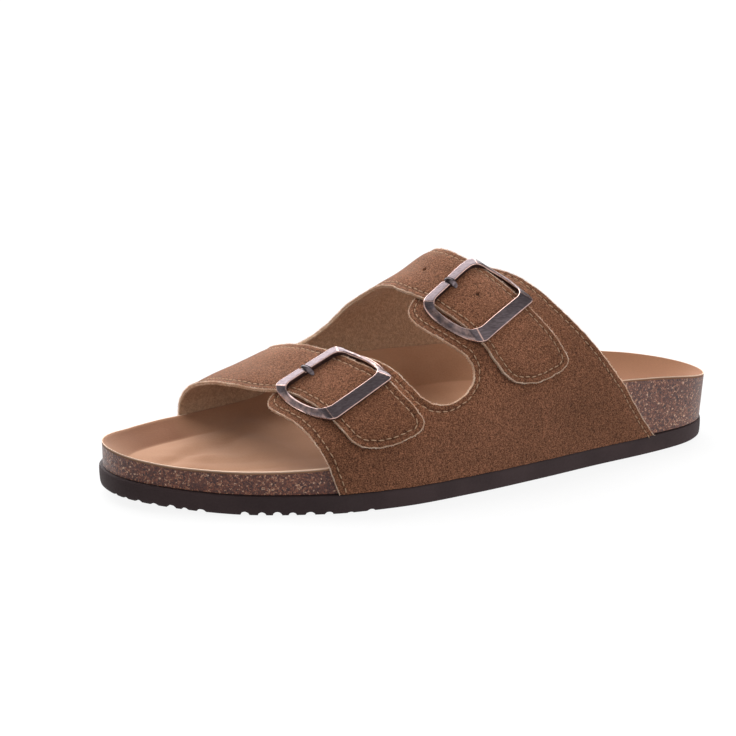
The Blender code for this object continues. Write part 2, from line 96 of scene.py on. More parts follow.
# %% Shader maths
class Sum:
    """A value on its way through a material."""

    def __init__(self, finish, socket):
        self.finish = finish
        self.socket = socket

    def maths(self, operation, first, second):
        return self.finish.node("ShaderNodeMath", {"operation": operation}, {0: first, 1: second})

    def __add__(self, other):
        return self.maths("ADD", self, other)

    def __sub__(self, other):
        return self.maths("SUBTRACT", self, other)

    def __rsub__(self, other):
        return self.maths("SUBTRACT", other, self)

    def __mul__(self, other):
        return self.maths("MULTIPLY", self, other)

    __radd__ = __add__
    __rmul__ = __mul__

    def size(self):
        return self.maths("ABSOLUTE", self, 0.0)

    def between(self, low, high):
        """A soft step: 0 at low, 1 at high."""
        return self.finish.node(
            "ShaderNodeMapRange", {"interpolation_type": "SMOOTHSTEP"},
            {"Value": self, "From Min": low, "From Max": high})


class Finish:
    """A Principled material; values that are the same all over are set on its own sockets."""

    def __init__(self, name, **constants):
        self.material = bpy.data.materials.new(name)
        self.material.use_nodes = True
        self.tree = self.material.node_tree
        self.shader = self.tree.nodes["Principled BSDF"]
        self.show(**constants)

    def plug(self, socket, value):
        if isinstance(value, Sum):
            self.tree.links.new(value.socket, socket)
        else:
            socket.default_value = value

    def node(self, kind, settings=None, sockets=None, output=0):
        made = self.tree.nodes.new(kind)
        for key, value in (settings or {}).items():
            if key == "stops":
                stops = made.color_ramp.elements
                stops.remove(stops[1])
                stops[0].position, stops[0].color = value[0]
                for place, colour in value[1:]:
                    stops.new(place).color = colour
            else:
                setattr(made, key, value)
        for key, value in (sockets or {}).items():
            self.plug(made.inputs[key], value)
        return Sum(self, made.outputs[output])

    def place(self):
        return self.node("ShaderNodeTexCoord", output="Object")

    def reading(self, attribute):
        return self.node("ShaderNodeAttribute", {"attribute_name": attribute}, output="Fac")

    def grain(self, place, size_mm, detail=2.0, output=0):
        """Noise whose largest lumps are about this size."""
        return self.node("ShaderNodeTexNoise", None, {
            "Vector": place, "Scale": 1000.0 / size_mm, "Detail": detail}, output)

    def cells(self, place, size_mm, feature="F1", output="Distance"):
        return self.node("ShaderNodeTexVoronoi", {"feature": feature}, {
            "Vector": place, "Scale": 1000.0 / size_mm}, output)

    def mix(self, share, first, second):
        return self.node("ShaderNodeMix", {"data_type": "RGBA"}, {0: share, 6: first, 7: second}, 2)

    def scaled(self, colour, factor):
        return self.node("ShaderNodeVectorMath", {"operation": "SCALE"}, {0: colour, "Scale": factor})

    def bump(self, height, depth_mm, strength):
        return self.node("ShaderNodeBump", None, {
            "Height": height, "Distance": depth_mm * 0.001, "Strength": strength})

    def show(self, **values):
        for socket, value in values.items():
            self.plug(self.shader.inputs[socket.replace("_", " ")], value)
        return self.material


def rgb(red, green, blue):
    """A linear colour with full alpha."""
    return (red, green, blue, 1.0)


print("shader maths ready")

# %% [markdown]
# ## Light and floor
#
# The photograph has one large soft light above and behind the shoe, so the tops of the straps are bright and
# the near side stays rich and dark. A sun lamp with a wide disc is such a light: it falls evenly on the whole
# floor, however far it runs. Three weaker ones stand for the panels at both sides and behind the camera. The
# floor glows, so it is white and its shadow pale, but it is hidden from diffuse rays: a white floor that lit
# the shoe from below would flatten it. The standard view shows white as white.

# %% Light and floor
WHITE = rgb(1.0, 1.0, 1.0)
ROOM_GLOW = 0.22
FLOOR_HALF = 8.0
FLOOR_HEIGHT = -0.0002
FLOOR_CORNERS = ((-1, -1), (1, -1), (1, 1), (-1, 1))
FLOOR_GREYS = (rgb(0.10, 0.10, 0.10), rgb(0.11, 0.11, 0.11))


def wide_sun(name, comes_from, strength, disc_deg):
    light = bpy.data.lights.new(name, "SUN")
    light.energy = strength
    light.angle = np.radians(disc_deg)
    in_scene(name, light).rotation_euler = Vector(comes_from).to_track_quat("Z", "Y").to_euler()


wide_sun("above_behind", (-0.08, -0.72, 0.69), strength=6.6, disc_deg=80)
wide_sun("heel_side", (-0.90, 0.43, 0.06), strength=1.7, disc_deg=60)
wide_sun("toe_side", (0.90, -0.43, 0.40), strength=0.4, disc_deg=60)
wide_sun("camera_side", (0.05, 0.86, 0.42), strength=1.0, disc_deg=80)

world = bpy.data.worlds.new("dim_room")
world.use_nodes = True
room = world.node_tree.nodes["Background"].inputs
room["Color"].default_value = WHITE
room["Strength"].default_value = ROOM_GLOW
bpy.context.scene.world = world
bpy.context.scene.view_settings.view_transform = "Standard"

paper = Finish("white_floor", Roughness=0.95, Specular_IOR_Level=0.0, Emission_Strength=0.88)
tooth = paper.grain(paper.place(), size_mm=4.0)
floor_mesh = bpy.data.meshes.new("floor")
floor_mesh.from_pydata(
    [(x * FLOOR_HALF, y * FLOOR_HALF, FLOOR_HEIGHT) for x, y in FLOOR_CORNERS], [], [(0, 1, 2, 3)])
floor_mesh.materials.append(paper.show(Base_Color=paper.mix(tooth, *FLOOR_GREYS), Emission_Color=WHITE))
floor = in_scene("floor", floor_mesh)
floor.visible_diffuse = False
print("one wide light, three weaker ones and a floor")

# %% [markdown]
# ## The last in numbers
#
# A shoemaker builds everything over a last. The part's solids were worked out from a few short tables, and
# the finer pieces repeat them, so that each one lies exactly where its solid does. Lengths are in
# millimetres: x from the heel to the toe, y to the outer side, z up. The curve through a table must not
# overshoot between its rows, or a rim would get waves that nobody drew.

# %% Outline of the sole
SOLE_LENGTH = 275.5
BALL_X = 190
# x, y of the outer edge, y of the inner edge
OUTLINE = (
    (0, 0.0, 0.0), (2, 10.5, -10.5), (8.5, 21.0, -21.5), (20.5, 29.0, -30.5), (43, 35.4, -35.6),
    (73, 40.8, -36.0), (103, 47.0, -35.0), (138, 53.0, -36.8), (168, 56.0, -42.2), (193, 54.0, -47.2),
    (213, 47.8, -49.4), (233, 38.2, -48.6), (250.5, 27.3, -43.7), (264, 16.5, -34.2), (272.3, 6.0, -22.0),
    (275.5, -8.0, -8.0),
)


def monotone(rows, column, key=None):
    """A smooth function through one column of a table, with no overshoot between its rows."""
    xs = np.array([row[0] for row in rows], float)
    if key is not None:
        xs = key(xs)
    ys = np.array([row[column] for row in rows], float)
    step = np.diff(xs)
    rise = np.diff(ys) / step
    slope = np.zeros(len(xs))
    slope[0] = rise[0]
    slope[-1] = rise[-1]
    for i in range(1, len(xs) - 1):
        if rise[i - 1] * rise[i] > 0:
            before = 2 * step[i] + step[i - 1]
            after = step[i] + 2 * step[i - 1]
            slope[i] = (before + after) / (before / rise[i - 1] + after / rise[i])

    def value(x):
        x = np.asarray(x, float)
        if key is not None:
            x = key(x)
        x = np.clip(x, xs[0], xs[-1])
        i = np.clip(np.searchsorted(xs, x, side="right") - 1, 0, len(xs) - 2)
        t = (x - xs[i]) / step[i]
        near = ys[i] * (1 + 2 * t) * (1 - t) ** 2 + step[i] * slope[i] * t * (1 - t) ** 2
        far = ys[i + 1] * t * t * (3 - 2 * t) + step[i] * slope[i + 1] * t * t * (t - 1)
        return near + far

    return value


def around(x):
    """Angle round the sole's length, which makes both ends of the outline round."""
    return np.arccos(np.clip(1 - 2 * np.asarray(x, float) / SOLE_LENGTH, -1, 1))


outer_edge, inner_edge = (monotone(OUTLINE, which, around) for which in (1, 2))
ball_wide = round(float(outer_edge(BALL_X) - inner_edge(BALL_X)), 1)
print("sole", SOLE_LENGTH, "mm long, ball", ball_wide, "mm wide")

# %% Places on the last
PART_MID = (137.2, 3.69, 0.0)
TOE_SPRING = 4.0
SPRING_START = 228.0
SPRING_POWER = 1.56
EDGE_LOOK = 0.01


def fade(value, start, over):
    """0 up to start, then straight up to 1 over this much more, or less where it is negative."""
    return np.clip((value - start) / over, 0, 1)


def spring(x):
    """Rise of the sole towards the toe."""
    past = fade(np.asarray(x, float), SPRING_START, SOLE_LENGTH - SPRING_START)
    return TOE_SPRING * past ** SPRING_POWER


def to_part(points):
    """Millimetres on the last to the part's frame in metres."""
    return (np.asarray(points, float) - PART_MID) * 0.001


def edge_at(turn):
    """The sole's edge, once round: 0 at the heel, pi at the toe, outer side first."""
    turn = np.mod(turn, 2 * np.pi)
    x = SOLE_LENGTH / 2 * (1 - np.cos(turn))
    return np.stack([x, np.where(turn <= np.pi, outer_edge(x), inner_edge(x))], -1)


def sole_loop(turn, inset):
    """The same edge, moved inwards."""
    along = edge_at(turn + EDGE_LOOK) - edge_at(turn - EDGE_LOOK)
    along /= np.linalg.norm(along, axis=1)[:, None]
    inward = np.stack([along[:, 1], -along[:, 0]], -1)
    return edge_at(turn) + inward * np.broadcast_to(inset, len(turn))[:, None]


def level(loop, height):
    """Points of a loop at a height, or at a height for each point."""
    return np.column_stack([loop, np.broadcast_to(height, len(loop))])


print("toe spring", float(spring(SOLE_LENGTH)), "mm")

# %% [markdown]
# ## Meshes from rings
#
# The sole, the bed, its cover and the metal are all forms whose section changes slowly. They could be pulled
# out of a box by hand. Here they are lofted: rings with the same number of points are joined by four-sided
# faces, because rings that come from the tables lie where the solids do.

# %% Mesh helpers
SEED_STEPS = (7.3, 3.1, 5.7)


def bands(rings, count, closed=False):
    """Four-sided faces between each ring of points and the next."""
    faces = []
    for ring in range(rings if closed else rings - 1):
        here, there = ring * count, (ring + 1) % rings * count
        for k in range(count):
            nxt = (k + 1) % count
            faces.append((here + k, here + nxt, there + nxt, there + k))
    return faces


def lofted(rings):
    """Points and faces through rings of equal count, each end closed in strips across."""
    count = len(rings[0])
    faces = bands(len(rings), count)
    for start in (0, (len(rings) - 1) * count):
        for k in range(count // 2):
            strip = [k, k + 1, (count - k - 1) % count, (count - k) % count]
            faces.append(tuple(start + i for i in dict.fromkeys(strip)))
    return np.concatenate(rings), faces


def new_piece(name, points, faces, material, readings=None, sharp_deg=60):
    """A plain mesh piece in the part's frame, with its attributes, normals and material."""
    mesh = bpy.data.meshes.new(name)
    mesh.from_pydata([tuple(point) for point in to_part(points)], [], faces)
    bm = bmesh.new()
    bm.from_mesh(mesh)
    bmesh.ops.recalc_face_normals(bm, faces=bm.faces)
    bm.to_mesh(mesh)
    bm.free()
    for key, column in (readings or {}).items():
        layer = mesh.attributes.new(key, "FLOAT", "POINT")
        layer.data.foreach_set("value", np.asarray(column, np.float32))
    mesh.materials.append(material)
    mesh.shade_smooth()
    mesh.set_sharp_from_angle(angle=np.radians(sharp_deg))
    print(name, len(mesh.vertices), "points", len(mesh.loop_triangles), "triangles")
    return in_scene(name, mesh)


def lumps(points, size_mm, seed):
    """Smooth noise at each point, about -1 to 1."""
    shift = Vector([seed * step for step in SEED_STEPS])
    return np.array([noise.noise(Vector(point) / size_mm + shift) for point in points])


print("mesh helpers ready")

# %% [markdown]
# ## The outsole
#
# The sole is one slab of dark foam rubber, cut to the outline and curved up at the toe. Its lower edge is
# scalloped where the tread runs out through it, along the toe and the ball. The scallops are real geometry,
# because they show as dents in the shoe's outline. They could be cut out with Booleans, which leave long
# thin faces. Here the loop gets extra points at each one, and a ring that lies lower than the scallop is
# lifted to it.

# %% Outsole
SOLE_THICK = 7.9
SOLE_HALF_POINTS = 141
NOTCH_REACH = 7.2
# x of the middle, length and depth
TREAD = (
    (184.5, 3.2, 0.9), (193.0, 2.4, 0.6), (201.5, 3.2, 1.3), (208.5, 3.6, 1.5), (215, 3.0, 1.4),
    (220.5, 3.4, 1.7), (226, 3.0, 1.5), (232, 3.2, 1.6), (247, 3.2, 1.2), (252.5, 2.4, 1.0),
    (257, 3.2, 1.4), (262.5, 2.6, 0.9), (267.5, 2.2, 1.0), (271.3, 1.5, 0.9), (273.8, 0.9, 1.1),
)
TREAD_STEPS = (-1.0, -0.97, -0.85, -0.6, -0.3, 0.0, 0.3, 0.6, 0.85, 0.97, 1.0)
# inset from the edge, height, from the underside up the side to the top
SOLE_SECTION = (
    (7.4, 0.0), (7.0, 0.0), (4.0, 0.0), (1.5, 0.0), (0.85, 0.12), (0.45, 0.5), (0.25, 1.2), (0.12, 2.2),
    (0.0, 4.2), (0.0, 6.6), (0.08, 7.4), (0.35, 7.8), (0.8, SOLE_THICK), (3.0, SOLE_THICK),
)

half_turn = np.linspace(0, np.pi, SOLE_HALF_POINTS)
notch_x = np.array([x + step * long / 2 for x, long, _ in TREAD for step in TREAD_STEPS])
half_turn = np.unique(np.round(np.concatenate([half_turn, around(notch_x)]), 5))
half_turn[-1] = np.pi
sole_turn = np.concatenate([half_turn, 2 * np.pi - half_turn[-2:0:-1]])


def tread_notch(x):
    """Height of the scallops in the lower edge."""
    deep = np.zeros(len(x))
    for middle, long, most in TREAD:
        t = np.clip((x - middle) / (long / 2), -1, 1)
        deep = np.maximum(deep, most * np.sqrt(1 - t * t))
    return deep


notches = tread_notch(edge_at(sole_turn)[:, 0])
sole_rings = []
for inset, height in SOLE_SECTION:
    loop = sole_loop(sole_turn, inset)
    raised = notches if inset < NOTCH_REACH else 0.0
    sole_rings.append(level(loop, np.maximum(height, raised) + spring(loop[:, 0])))
print("outsole:", len(TREAD), "scallops in a loop of", len(sole_turn), "points")

# %% Foam rubber
RUBBER_DARK = rgb(0.027, 0.0135, 0.0145)
RUBBER_LIGHT = rgb(0.039, 0.021, 0.022)
rubber = Finish("dark_foam_rubber", Specular_IOR_Level=0.30)
where = rubber.place()
pebble = rubber.grain(where, size_mm=0.9, detail=3.0)
patches = rubber.grain(where, size_mm=18.0)
rubber.show(
    Base_Color=rubber.mix(patches.between(0.3, 0.7), RUBBER_DARK, RUBBER_LIGHT),
    Roughness=0.62 + pebble * 0.25,
    Normal=rubber.bump(pebble, depth_mm=0.12, strength=0.6))
outsole = new_piece("outsole_rubber_slab", *lofted(sole_rings), rubber.material, sharp_deg=40)

# %% [markdown]
# ## The cork bed
#
# The bed is pressed from cork granules and sealed. It has a heel cup, an arch and a raised rim, and the foot
# lies in its hollow. Its top could be sculpted on a grid, but then the rim would cut across the squares.
# Rings that shrink from the sole's edge to a line down the middle keep the rim clean.

# %% Surface that carries the foot
GAP = 0.3
INSOLE_THICK = 1.2
AXIS_HEEL_X = 34.0
AXIS_TOE_X = 246.0
FOLD_ROOM = 1.8
FOLD_ROOM_FROM = 0.05
FOLD_ROOM_OVER = 0.2
# x, inset from the sole's edge, flare of the rim, height of the outer rim, inner rim, hollow, wall power
FOOTBED = (
    (0, 0.5, 1.6, 27.2, 27.2, 19.0, 2.4), (14, 0.7, 1.2, 30.2, 28.5, 18.8, 2.4),
    (30, 1.2, 0.5, 32.8, 30.2, 19.0, 2.4), (44, 1.6, 0.0, 34.3, 31.8, 19.6, 2.4),
    (60, 1.6, 0.0, 35.5, 33.8, 20.5, 2.4), (90, 1.6, 0.0, 34.0, 39.0, 22.5, 2.4),
    (115, 1.6, 0.0, 30.0, 42.0, 23.5, 2.4), (138, 1.6, 0.0, 27.0, 42.0, 22.5, 2.6),
    (156, 1.6, 0.0, 23.5, 41.0, 20.5, 2.8), (175, 1.6, 0.0, 21.6, 34.0, 17.8, 3.5),
    (194, 1.6, 0.0, 20.0, 24.2, 16.0, 4.5), (209, 1.6, 0.0, 18.6, 21.2, 15.0, 4.4),
    (232, 1.6, 0.0, 17.9, 19.2, 13.9, 3.8), (254, 1.6, 0.0, 18.9, 18.7, 13.2, 3.8),
    (266, 1.6, 0.0, 20.4, 20.1, 13.4, 3.8), (275.5, 1.6, 0.0, 22.2, 22.2, 13.8, 3.8),
)
bed_inset, bed_flare, outer_rim, inner_rim, hollow, wall_power = (
    monotone(FOOTBED, which) for which in range(1, 7))


def bed_ring(turn, share, drop):
    """A ring of the surface that carries the foot: share 0 at the rim, 1 on the axis."""
    plain = edge_at(turn)[:, 0]
    edge = sole_loop(turn, bed_inset(plain) - bed_flare(plain))
    rim = np.where(turn <= np.pi, outer_rim(plain), inner_rim(plain))
    axis_x = AXIS_HEEL_X + (AXIS_TOE_X - AXIS_HEEL_X) * plain / SOLE_LENGTH
    axis = np.stack([axis_x, (outer_edge(axis_x) + inner_edge(axis_x)) / 2], -1)
    loop = edge + (axis - edge) * share
    low = hollow(loop[:, 0])
    height = low + (rim - low) * (1 - share) ** wall_power(loop[:, 0])
    return level(loop, height - drop)


def fold_room(share):
    """How much lower the bed lies under the cover, so that the cover's folds have room."""
    return FOLD_ROOM * fade(share, FOLD_ROOM_FROM, FOLD_ROOM_OVER)


print("rims are highest at", max(row[3] for row in FOOTBED), "and", max(row[4] for row in FOOTBED), "mm")

# %% [markdown]
# ### Cork
#
# The side of the bed is what shows: chips of half a millimetre to one, most of them reddish brown and a few
# pale. Flat chips are colour and not shape, so Voronoi cells of two sizes draw them, and each cell takes one
# colour at random. The open pits between chips are modelled as small dents in the wall.

# %% Cork bed
BED_AROUND = 560
BED_WALL_ROWS = 22
BED_SHARES = (0.05, 0.13, 0.26, 0.44, 0.68, 0.95)
PIT_DEEP = 0.44
PIT_SIZE = 1.5
PIT_FROM = 0.25
WAVE_HIGH = 0.06
WAVE_SIZE = 4.0
DENTS_STRETCH = 1.15
DENTS_FROM = 0.05

bed_turn = np.linspace(0, 2 * np.pi, BED_AROUND, endpoint=False)
bed_foot = sole_loop(bed_turn, bed_inset(edge_at(bed_turn)[:, 0]))
bed_foot = level(bed_foot, SOLE_THICK + GAP + spring(bed_foot[:, 0]))
bed_top = bed_ring(bed_turn, 0.0, INSOLE_THICK + GAP)
outward = edge_at(bed_turn) - sole_loop(bed_turn, 1.0)
bed_rings = []
for t in np.linspace(0, 1, BED_WALL_ROWS):
    ring = bed_foot + (bed_top - bed_foot) * t
    dents = np.clip(lumps(ring, PIT_SIZE, seed=1) - PIT_FROM, 0, 1) * -PIT_DEEP
    dents = dents + lumps(ring, WAVE_SIZE, seed=2) * WAVE_HIGH
    dying_out = np.sin(np.pi * np.clip(t * DENTS_STRETCH - DENTS_FROM, 0, 1))
    ring[:, :2] += outward * (dents * dying_out)[:, None]
    bed_rings.append(ring)
for share in BED_SHARES:
    bed_rings.append(bed_ring(bed_turn, share, INSOLE_THICK + GAP + fold_room(share)))
print("cork bed:", len(bed_rings), "rings of", BED_AROUND, "points")

# %% Sealed cork
CHIP_MM = 0.76
CRUMB_MM = 0.42
CHIP_SHAKE = (0.0009, 0.0009, 0.0009)
SEAM_COLOUR = rgb(0.060, 0.025, 0.022)
CHIP_COLOURS = (
    (0.0, rgb(0.026, 0.009, 0.010)), (0.30, rgb(0.090, 0.027, 0.021)), (0.55, rgb(0.196, 0.062, 0.037)),
    (0.75, rgb(0.330, 0.118, 0.064)), (0.88, rgb(0.560, 0.280, 0.165)), (1.0, rgb(0.840, 0.600, 0.430)),
)
cork = Finish(
    "sealed_cork", Coat_Roughness=0.38, Coat_Weight=0.28, Specular_IOR_Level=0.30, Sheen_Weight=0.25)
where = cork.place()
shaken = cork.node("ShaderNodeVectorMath", {"operation": "MULTIPLY_ADD"}, {
    0: cork.grain(where, size_mm=0.9, output="Color"), 1: CHIP_SHAKE, 2: where})
chip = cork.node("ShaderNodeSeparateColor", None, {0: cork.cells(shaken, CHIP_MM, output="Color")}, 0)
crumb = cork.node("ShaderNodeSeparateColor", None, {0: cork.cells(shaken, CRUMB_MM, output="Color")}, 1)
chip_colour = cork.node(
    "ShaderNodeValToRGB", {"stops": CHIP_COLOURS}, {0: chip * 0.68 + crumb * 0.46 - 0.08})
seam = cork.cells(shaken, CHIP_MM, "DISTANCE_TO_EDGE").between(0.0, 0.09)
cork.show(
    Base_Color=cork.mix(seam, SEAM_COLOUR, chip_colour),
    Roughness=0.52 + crumb * 0.25,
    Normal=cork.bump(seam * 0.6 + crumb * 0.4, depth_mm=0.14, strength=0.7))
footbed = new_piece("footbed_cork_bed", *lofted(bed_rings), cork.material, sharp_deg=50)

# %% [markdown]
# ## The insole
#
# A thin suede cover is glued into the bed and trimmed at the rim, where its pale cut edge shows as a line. It
# follows every hollow. A low bar crosses the bed under the toes, soft folds run from it towards the ball, and
# a narrow crease marks where the walls of the toe and the arch meet the floor. A cloth simulation would lay
# folds too, but not where the photograph has them, so they are ridges and troughs placed one by one.

# %% Folds of the cover
# x and y of the middle, heading in degrees, length, width, height of each ridge or trough
COVER_FOLDS = (
    (211, -6, 94, 26, 7.0, 1.4),
    (221, -8, 84, 20, 5.0, -0.8),
    (218, -16.6, 25, 15, 4.5, -1.3),
    (202.8, 9.2, 102, 13, 4.5, 1.4),
    (203, -27, 119, 13, 6.0, 1.0),
    (230, 4, 148, 20, 4.0, 1.1),
    (221, 12, 150, 22, 4.0, -1.0),
    (238, -16, 40, 14, 4.5, 1.0),
    (244, -4, 30, 14, 4.5, -0.9),
    (198, 18, 118, 20, 6.0, -0.9),
    (240, 12, 128, 12, 3.5, 0.6),
    (60, 4, 10, 26, 9.0, 0.35),
    (96, -12, 170, 28, 8.0, -0.40),
)
CREASE_DEEP = 1.8
CREASE_SOFT = 0.02
CREASE_WIDE = 0.12
CREASE_RIM = 0.1


def wall_foot(share, at):
    """A narrow trough where the bed's wall meets its floor, dying out at the rim."""
    return np.exp(-np.hypot(share - at, CREASE_SOFT) / CREASE_WIDE) * min(share / CREASE_RIM, 1)


def soft_folds(x, y, folds):
    """Sum of soft ridges and troughs at each point."""
    lift = np.zeros(len(x))
    for mid_x, mid_y, heading, length, width, height in folds:
        turn = np.radians(heading)
        along = (x - mid_x) * np.cos(turn) + (y - mid_y) * np.sin(turn)
        across = (y - mid_y) * np.cos(turn) - (x - mid_x) * np.sin(turn)
        lift += height * np.exp(-(along / length) ** 2 - (across / width) ** 2)
    return lift


print(len(COVER_FOLDS), "folds and two creases")

# %% [markdown]
# ### Readings for the finish
#
# The cover's colour carries painted shade and painted light: darker on the far toe wall, paler on the floor
# of the arch. The rings know where the walls and the floor are, so each one stores three readings with its
# points: the rim, the painted shade on the far toe wall, and the painted light on the arch's floor.

# %% Rings of the cover
COVER_AROUND = 420
COVER_SHARES = (
    0.0, 0.006, 0.014, 0.026, 0.045, 0.07, 0.10, 0.14, 0.18, 0.23, 0.28, 0.31, 0.33, 0.34, 0.35, 0.36, 0.37,
    0.38, 0.40, 0.44, 0.50, 0.56, 0.63, 0.72, 0.81, 0.90, 0.96,
)
UNDER_SHARES = (0.95, 0.4, 0.1)
EDGE_ROUND, EDGE_ROUND_SHARE = 0.35, 0.02
EDGE_REACH = 0.24
RIM_SHARE = 0.028
FOLDS_FROM, FOLDS_OVER = 0.05, 0.25
FAR_SIDE_TURN = 0.5
TOE_FROM, TOE_OVER, TOE_CREASE_SHARE = 205, 30, 0.34
ARCH_REAR, ARCH_FRONT, ARCH_OVER, ARCH_CREASE_SHARE = 78, 172, 22, 0.37
WALL_SHADE_FROM, WALL_SHADE_OVER = 218, 18
FLOOR_LIGHT_ON_WALL = 0.3

cover_turn = np.linspace(0, 2 * np.pi, COVER_AROUND, endpoint=False)
far_side = fade(cover_turn, np.pi, FAR_SIDE_TURN)
cover_rings = [bed_ring(cover_turn, share, INSOLE_THICK + fold_room(share)) for share in UNDER_SHARES]
cover_rings.append(bed_ring(cover_turn, 0.0, INSOLE_THICK + EDGE_REACH))
cover_rim = [0.0] * len(cover_rings)
cover_wall_shade = [np.zeros(COVER_AROUND)] * len(cover_rings)
cover_floor_light = list(cover_wall_shade)
for share in COVER_SHARES:
    ring = bed_ring(cover_turn, share, 0.0)
    x = ring[:, 0]
    at_toe = fade(x, TOE_FROM, TOE_OVER)
    at_arch = fade(x, ARCH_REAR, ARCH_OVER) * fade(x, ARCH_FRONT, -ARCH_OVER)
    ring[:, 2] += soft_folds(x, ring[:, 1], COVER_FOLDS) * fade(share, FOLDS_FROM, FOLDS_OVER)
    ring[:, 2] -= CREASE_DEEP * at_toe * wall_foot(share, TOE_CREASE_SHARE)
    ring[:, 2] -= CREASE_DEEP * at_arch * far_side * wall_foot(share, ARCH_CREASE_SHARE)
    ring[:, 2] -= EDGE_ROUND * (1 - fade(share, 0, EDGE_ROUND_SHARE)) ** 2
    cover_rings.append(ring)
    cover_rim.append(1 - fade(share, 0, RIM_SHARE))
    on_wall = fade(share, 0.01, 0.03) * fade(share, TOE_CREASE_SHARE + 0.03, -0.05)
    on_floor = fade(share, ARCH_CREASE_SHARE - 0.01, 0.02)
    # painted shade: the far toe wall is darkened in the colour
    cover_wall_shade.append(on_wall * far_side * fade(x, WALL_SHADE_FROM, WALL_SHADE_OVER))
    # painted light: the arch floor is paler in the colour, less so on its wall
    cover_floor_light.append(at_arch * (FLOOR_LIGHT_ON_WALL + (1 - FLOOR_LIGHT_ON_WALL) * on_floor))
print("cover:", len(cover_rings), "rings of", COVER_AROUND, "points")

# %% Tan suede
TAN_DARK = rgb(0.312, 0.158, 0.088)
TAN_LIGHT = rgb(0.360, 0.192, 0.112)
TAN_HEEL = rgb(0.250, 0.110, 0.055)
TAN_WALL_SHADE = rgb(0.190, 0.080, 0.040)
TAN_EDGE = rgb(0.80, 0.57, 0.43)
HEEL_FROM, HEEL_TO = -0.050, -0.090
UPPER_REAR, UPPER_FRONT = 66, 226
cover = Finish("tan_insole_suede", Sheen_Weight=0.10, Sheen_Roughness=0.5, Specular_IOR_Level=0.12)
where = cover.place()
nap = cover.grain(where, size_mm=0.7, detail=3.0)
brushed = cover.grain(where, size_mm=26.0, detail=3.0)
towards_heel = cover.node("ShaderNodeSeparateXYZ", None, {0: where}, 0).between(HEEL_FROM, HEEL_TO)
ground = cover.mix(brushed.between(0.3, 0.7), TAN_DARK, TAN_LIGHT)
ground = cover.mix(towards_heel * 0.9, ground, TAN_HEEL)
# painted shade on the far toe wall
ground = cover.mix(cover.reading("nap_laid"), ground, TAN_WALL_SHADE)
# painted light on the arch floor makes the cover up to 42 percent paler
ground = cover.scaled(ground, (0.86 + nap * 0.28) * (1 + cover.reading("trodden") * 0.42))
cover.show(
    Base_Color=cover.mix(cover.reading("rim").between(0.40, 0.85), ground, TAN_EDGE),
    Roughness=0.80 + nap * 0.18,
    Normal=cover.bump(nap, depth_mm=0.16, strength=0.5))
cover_x = edge_at(cover_turn)[:, 0]
under_upper = (cover_turn > np.pi) & (cover_x > UPPER_REAR) & (cover_x < UPPER_FRONT)
insole = new_piece(
    "insole_suede_cover", *lofted(cover_rings), cover.material,
    {"rim": np.repeat(cover_rim, COVER_AROUND) * np.tile(~under_upper, len(cover_rings)),
     "nap_laid": np.concatenate(cover_wall_shade), "trodden": np.concatenate(cover_floor_light)}, sharp_deg=70)

# %% [markdown]
# ## The upper's patterns
#
# The upper is cut from flat suede as two pieces. The outer quarter has two short tabs, and the inner quarter
# runs over the foot as two straps that lap over those tabs. It could be box modelled round the foot, but then
# nothing would keep the straps as wide as they were cut. So each pattern is drawn in girth angle and length,
# as the solid's was: 0 degrees at the bed's outer edge, 90 on the crest, 180 at its inner edge.

# %% Pattern tables
# girth angle, x of the front edge, x of the rear edge
OUTER_QUARTER = (
    (-25, 197.8, 41.7), (-14, 199.6, 50.2), (1, 201.8, 59.9), (16, 204.2, 68.8), (28, 206.8, 76.4),
    (38, 209.4, 83.1), (46, 212.5, 88.2), (53, 215.1, 92.0), (58, 214.6, 95.1),
)
FRONT_STRAP = (
    (10, 186.7, 169.7), (14, 190.8, 162.6), (22, 193.9, 163.8), (31, 196.4, 167.6), (39, 199.0, 170.4),
    (48, 202.5, 174.2), (55, 205.4, 178.0), (61, 209.7, 180.8), (69, 216.0, 184.2), (80, 220.2, 188.2),
    (90, 222.7, 191.2), (102, 224.5, 193.2), (118, 225.8, 193.7),
)
REAR_STRAP = (
    (15, 115.2, 97.2), (19, 121.6, 91.0), (25, 125.5, 92.3), (33, 128.9, 95.7), (40, 132.2, 100.0),
    (48, 136.4, 104.8), (56, 140.4, 109.8), (64, 143.5, 115.0), (70, 146.0, 118.7), (77, 148.4, 121.9),
    (87, 150.0, 124.2), (97, 151.4, 124.8), (108, 153.4, 124.0),
)
INNER_QUARTER = (
    (130, 226.6, 115.7), (147, 227.8, 103.2), (162, 228.8, 90.7), (176, 229.4, 78.7), (188, 229.7, 68.7),
    (205, 229.7, 58.2),
)
# x, girth angle
OUTER_NOTCH = (
    (175.7, 59.0), (169.2, 49.0), (165.5, 40.5), (162.4, 32.5), (158.5, 25.0), (152.7, 20.0), (145.7, 18.0),
    (139.2, 19.8), (135.4, 25.0), (136.6, 32.5), (140.7, 39.0), (145.2, 46.0), (149.5, 53.5), (151.8, 60.0),
    (151.5, 65.5),
)
INNER_NOTCH = (
    (192.6, 131.0), (188.0, 145.0), (181.0, 152.5), (174.0, 154.5), (167.0, 151.5), (162.2, 142.5),
    (159.6, 130.0), (157.0, 118.0),
)
FRONT_TAB_END = ((210.2, 62.5), (202.2, 65.0), (190.2, 65.5), (181.2, 63.5))
REAR_TAB_END = ((147.2, 70.0), (136.2, 74.5), (122.2, 74.5), (110.2, 70.5), (101.2, 65.5))


def drawn_up(rows, which):
    """One edge of a table as places, in the order of its rows."""
    return [(row[which], row[0]) for row in rows]


def drawn_down(rows, which):
    return drawn_up(rows, which)[::-1]


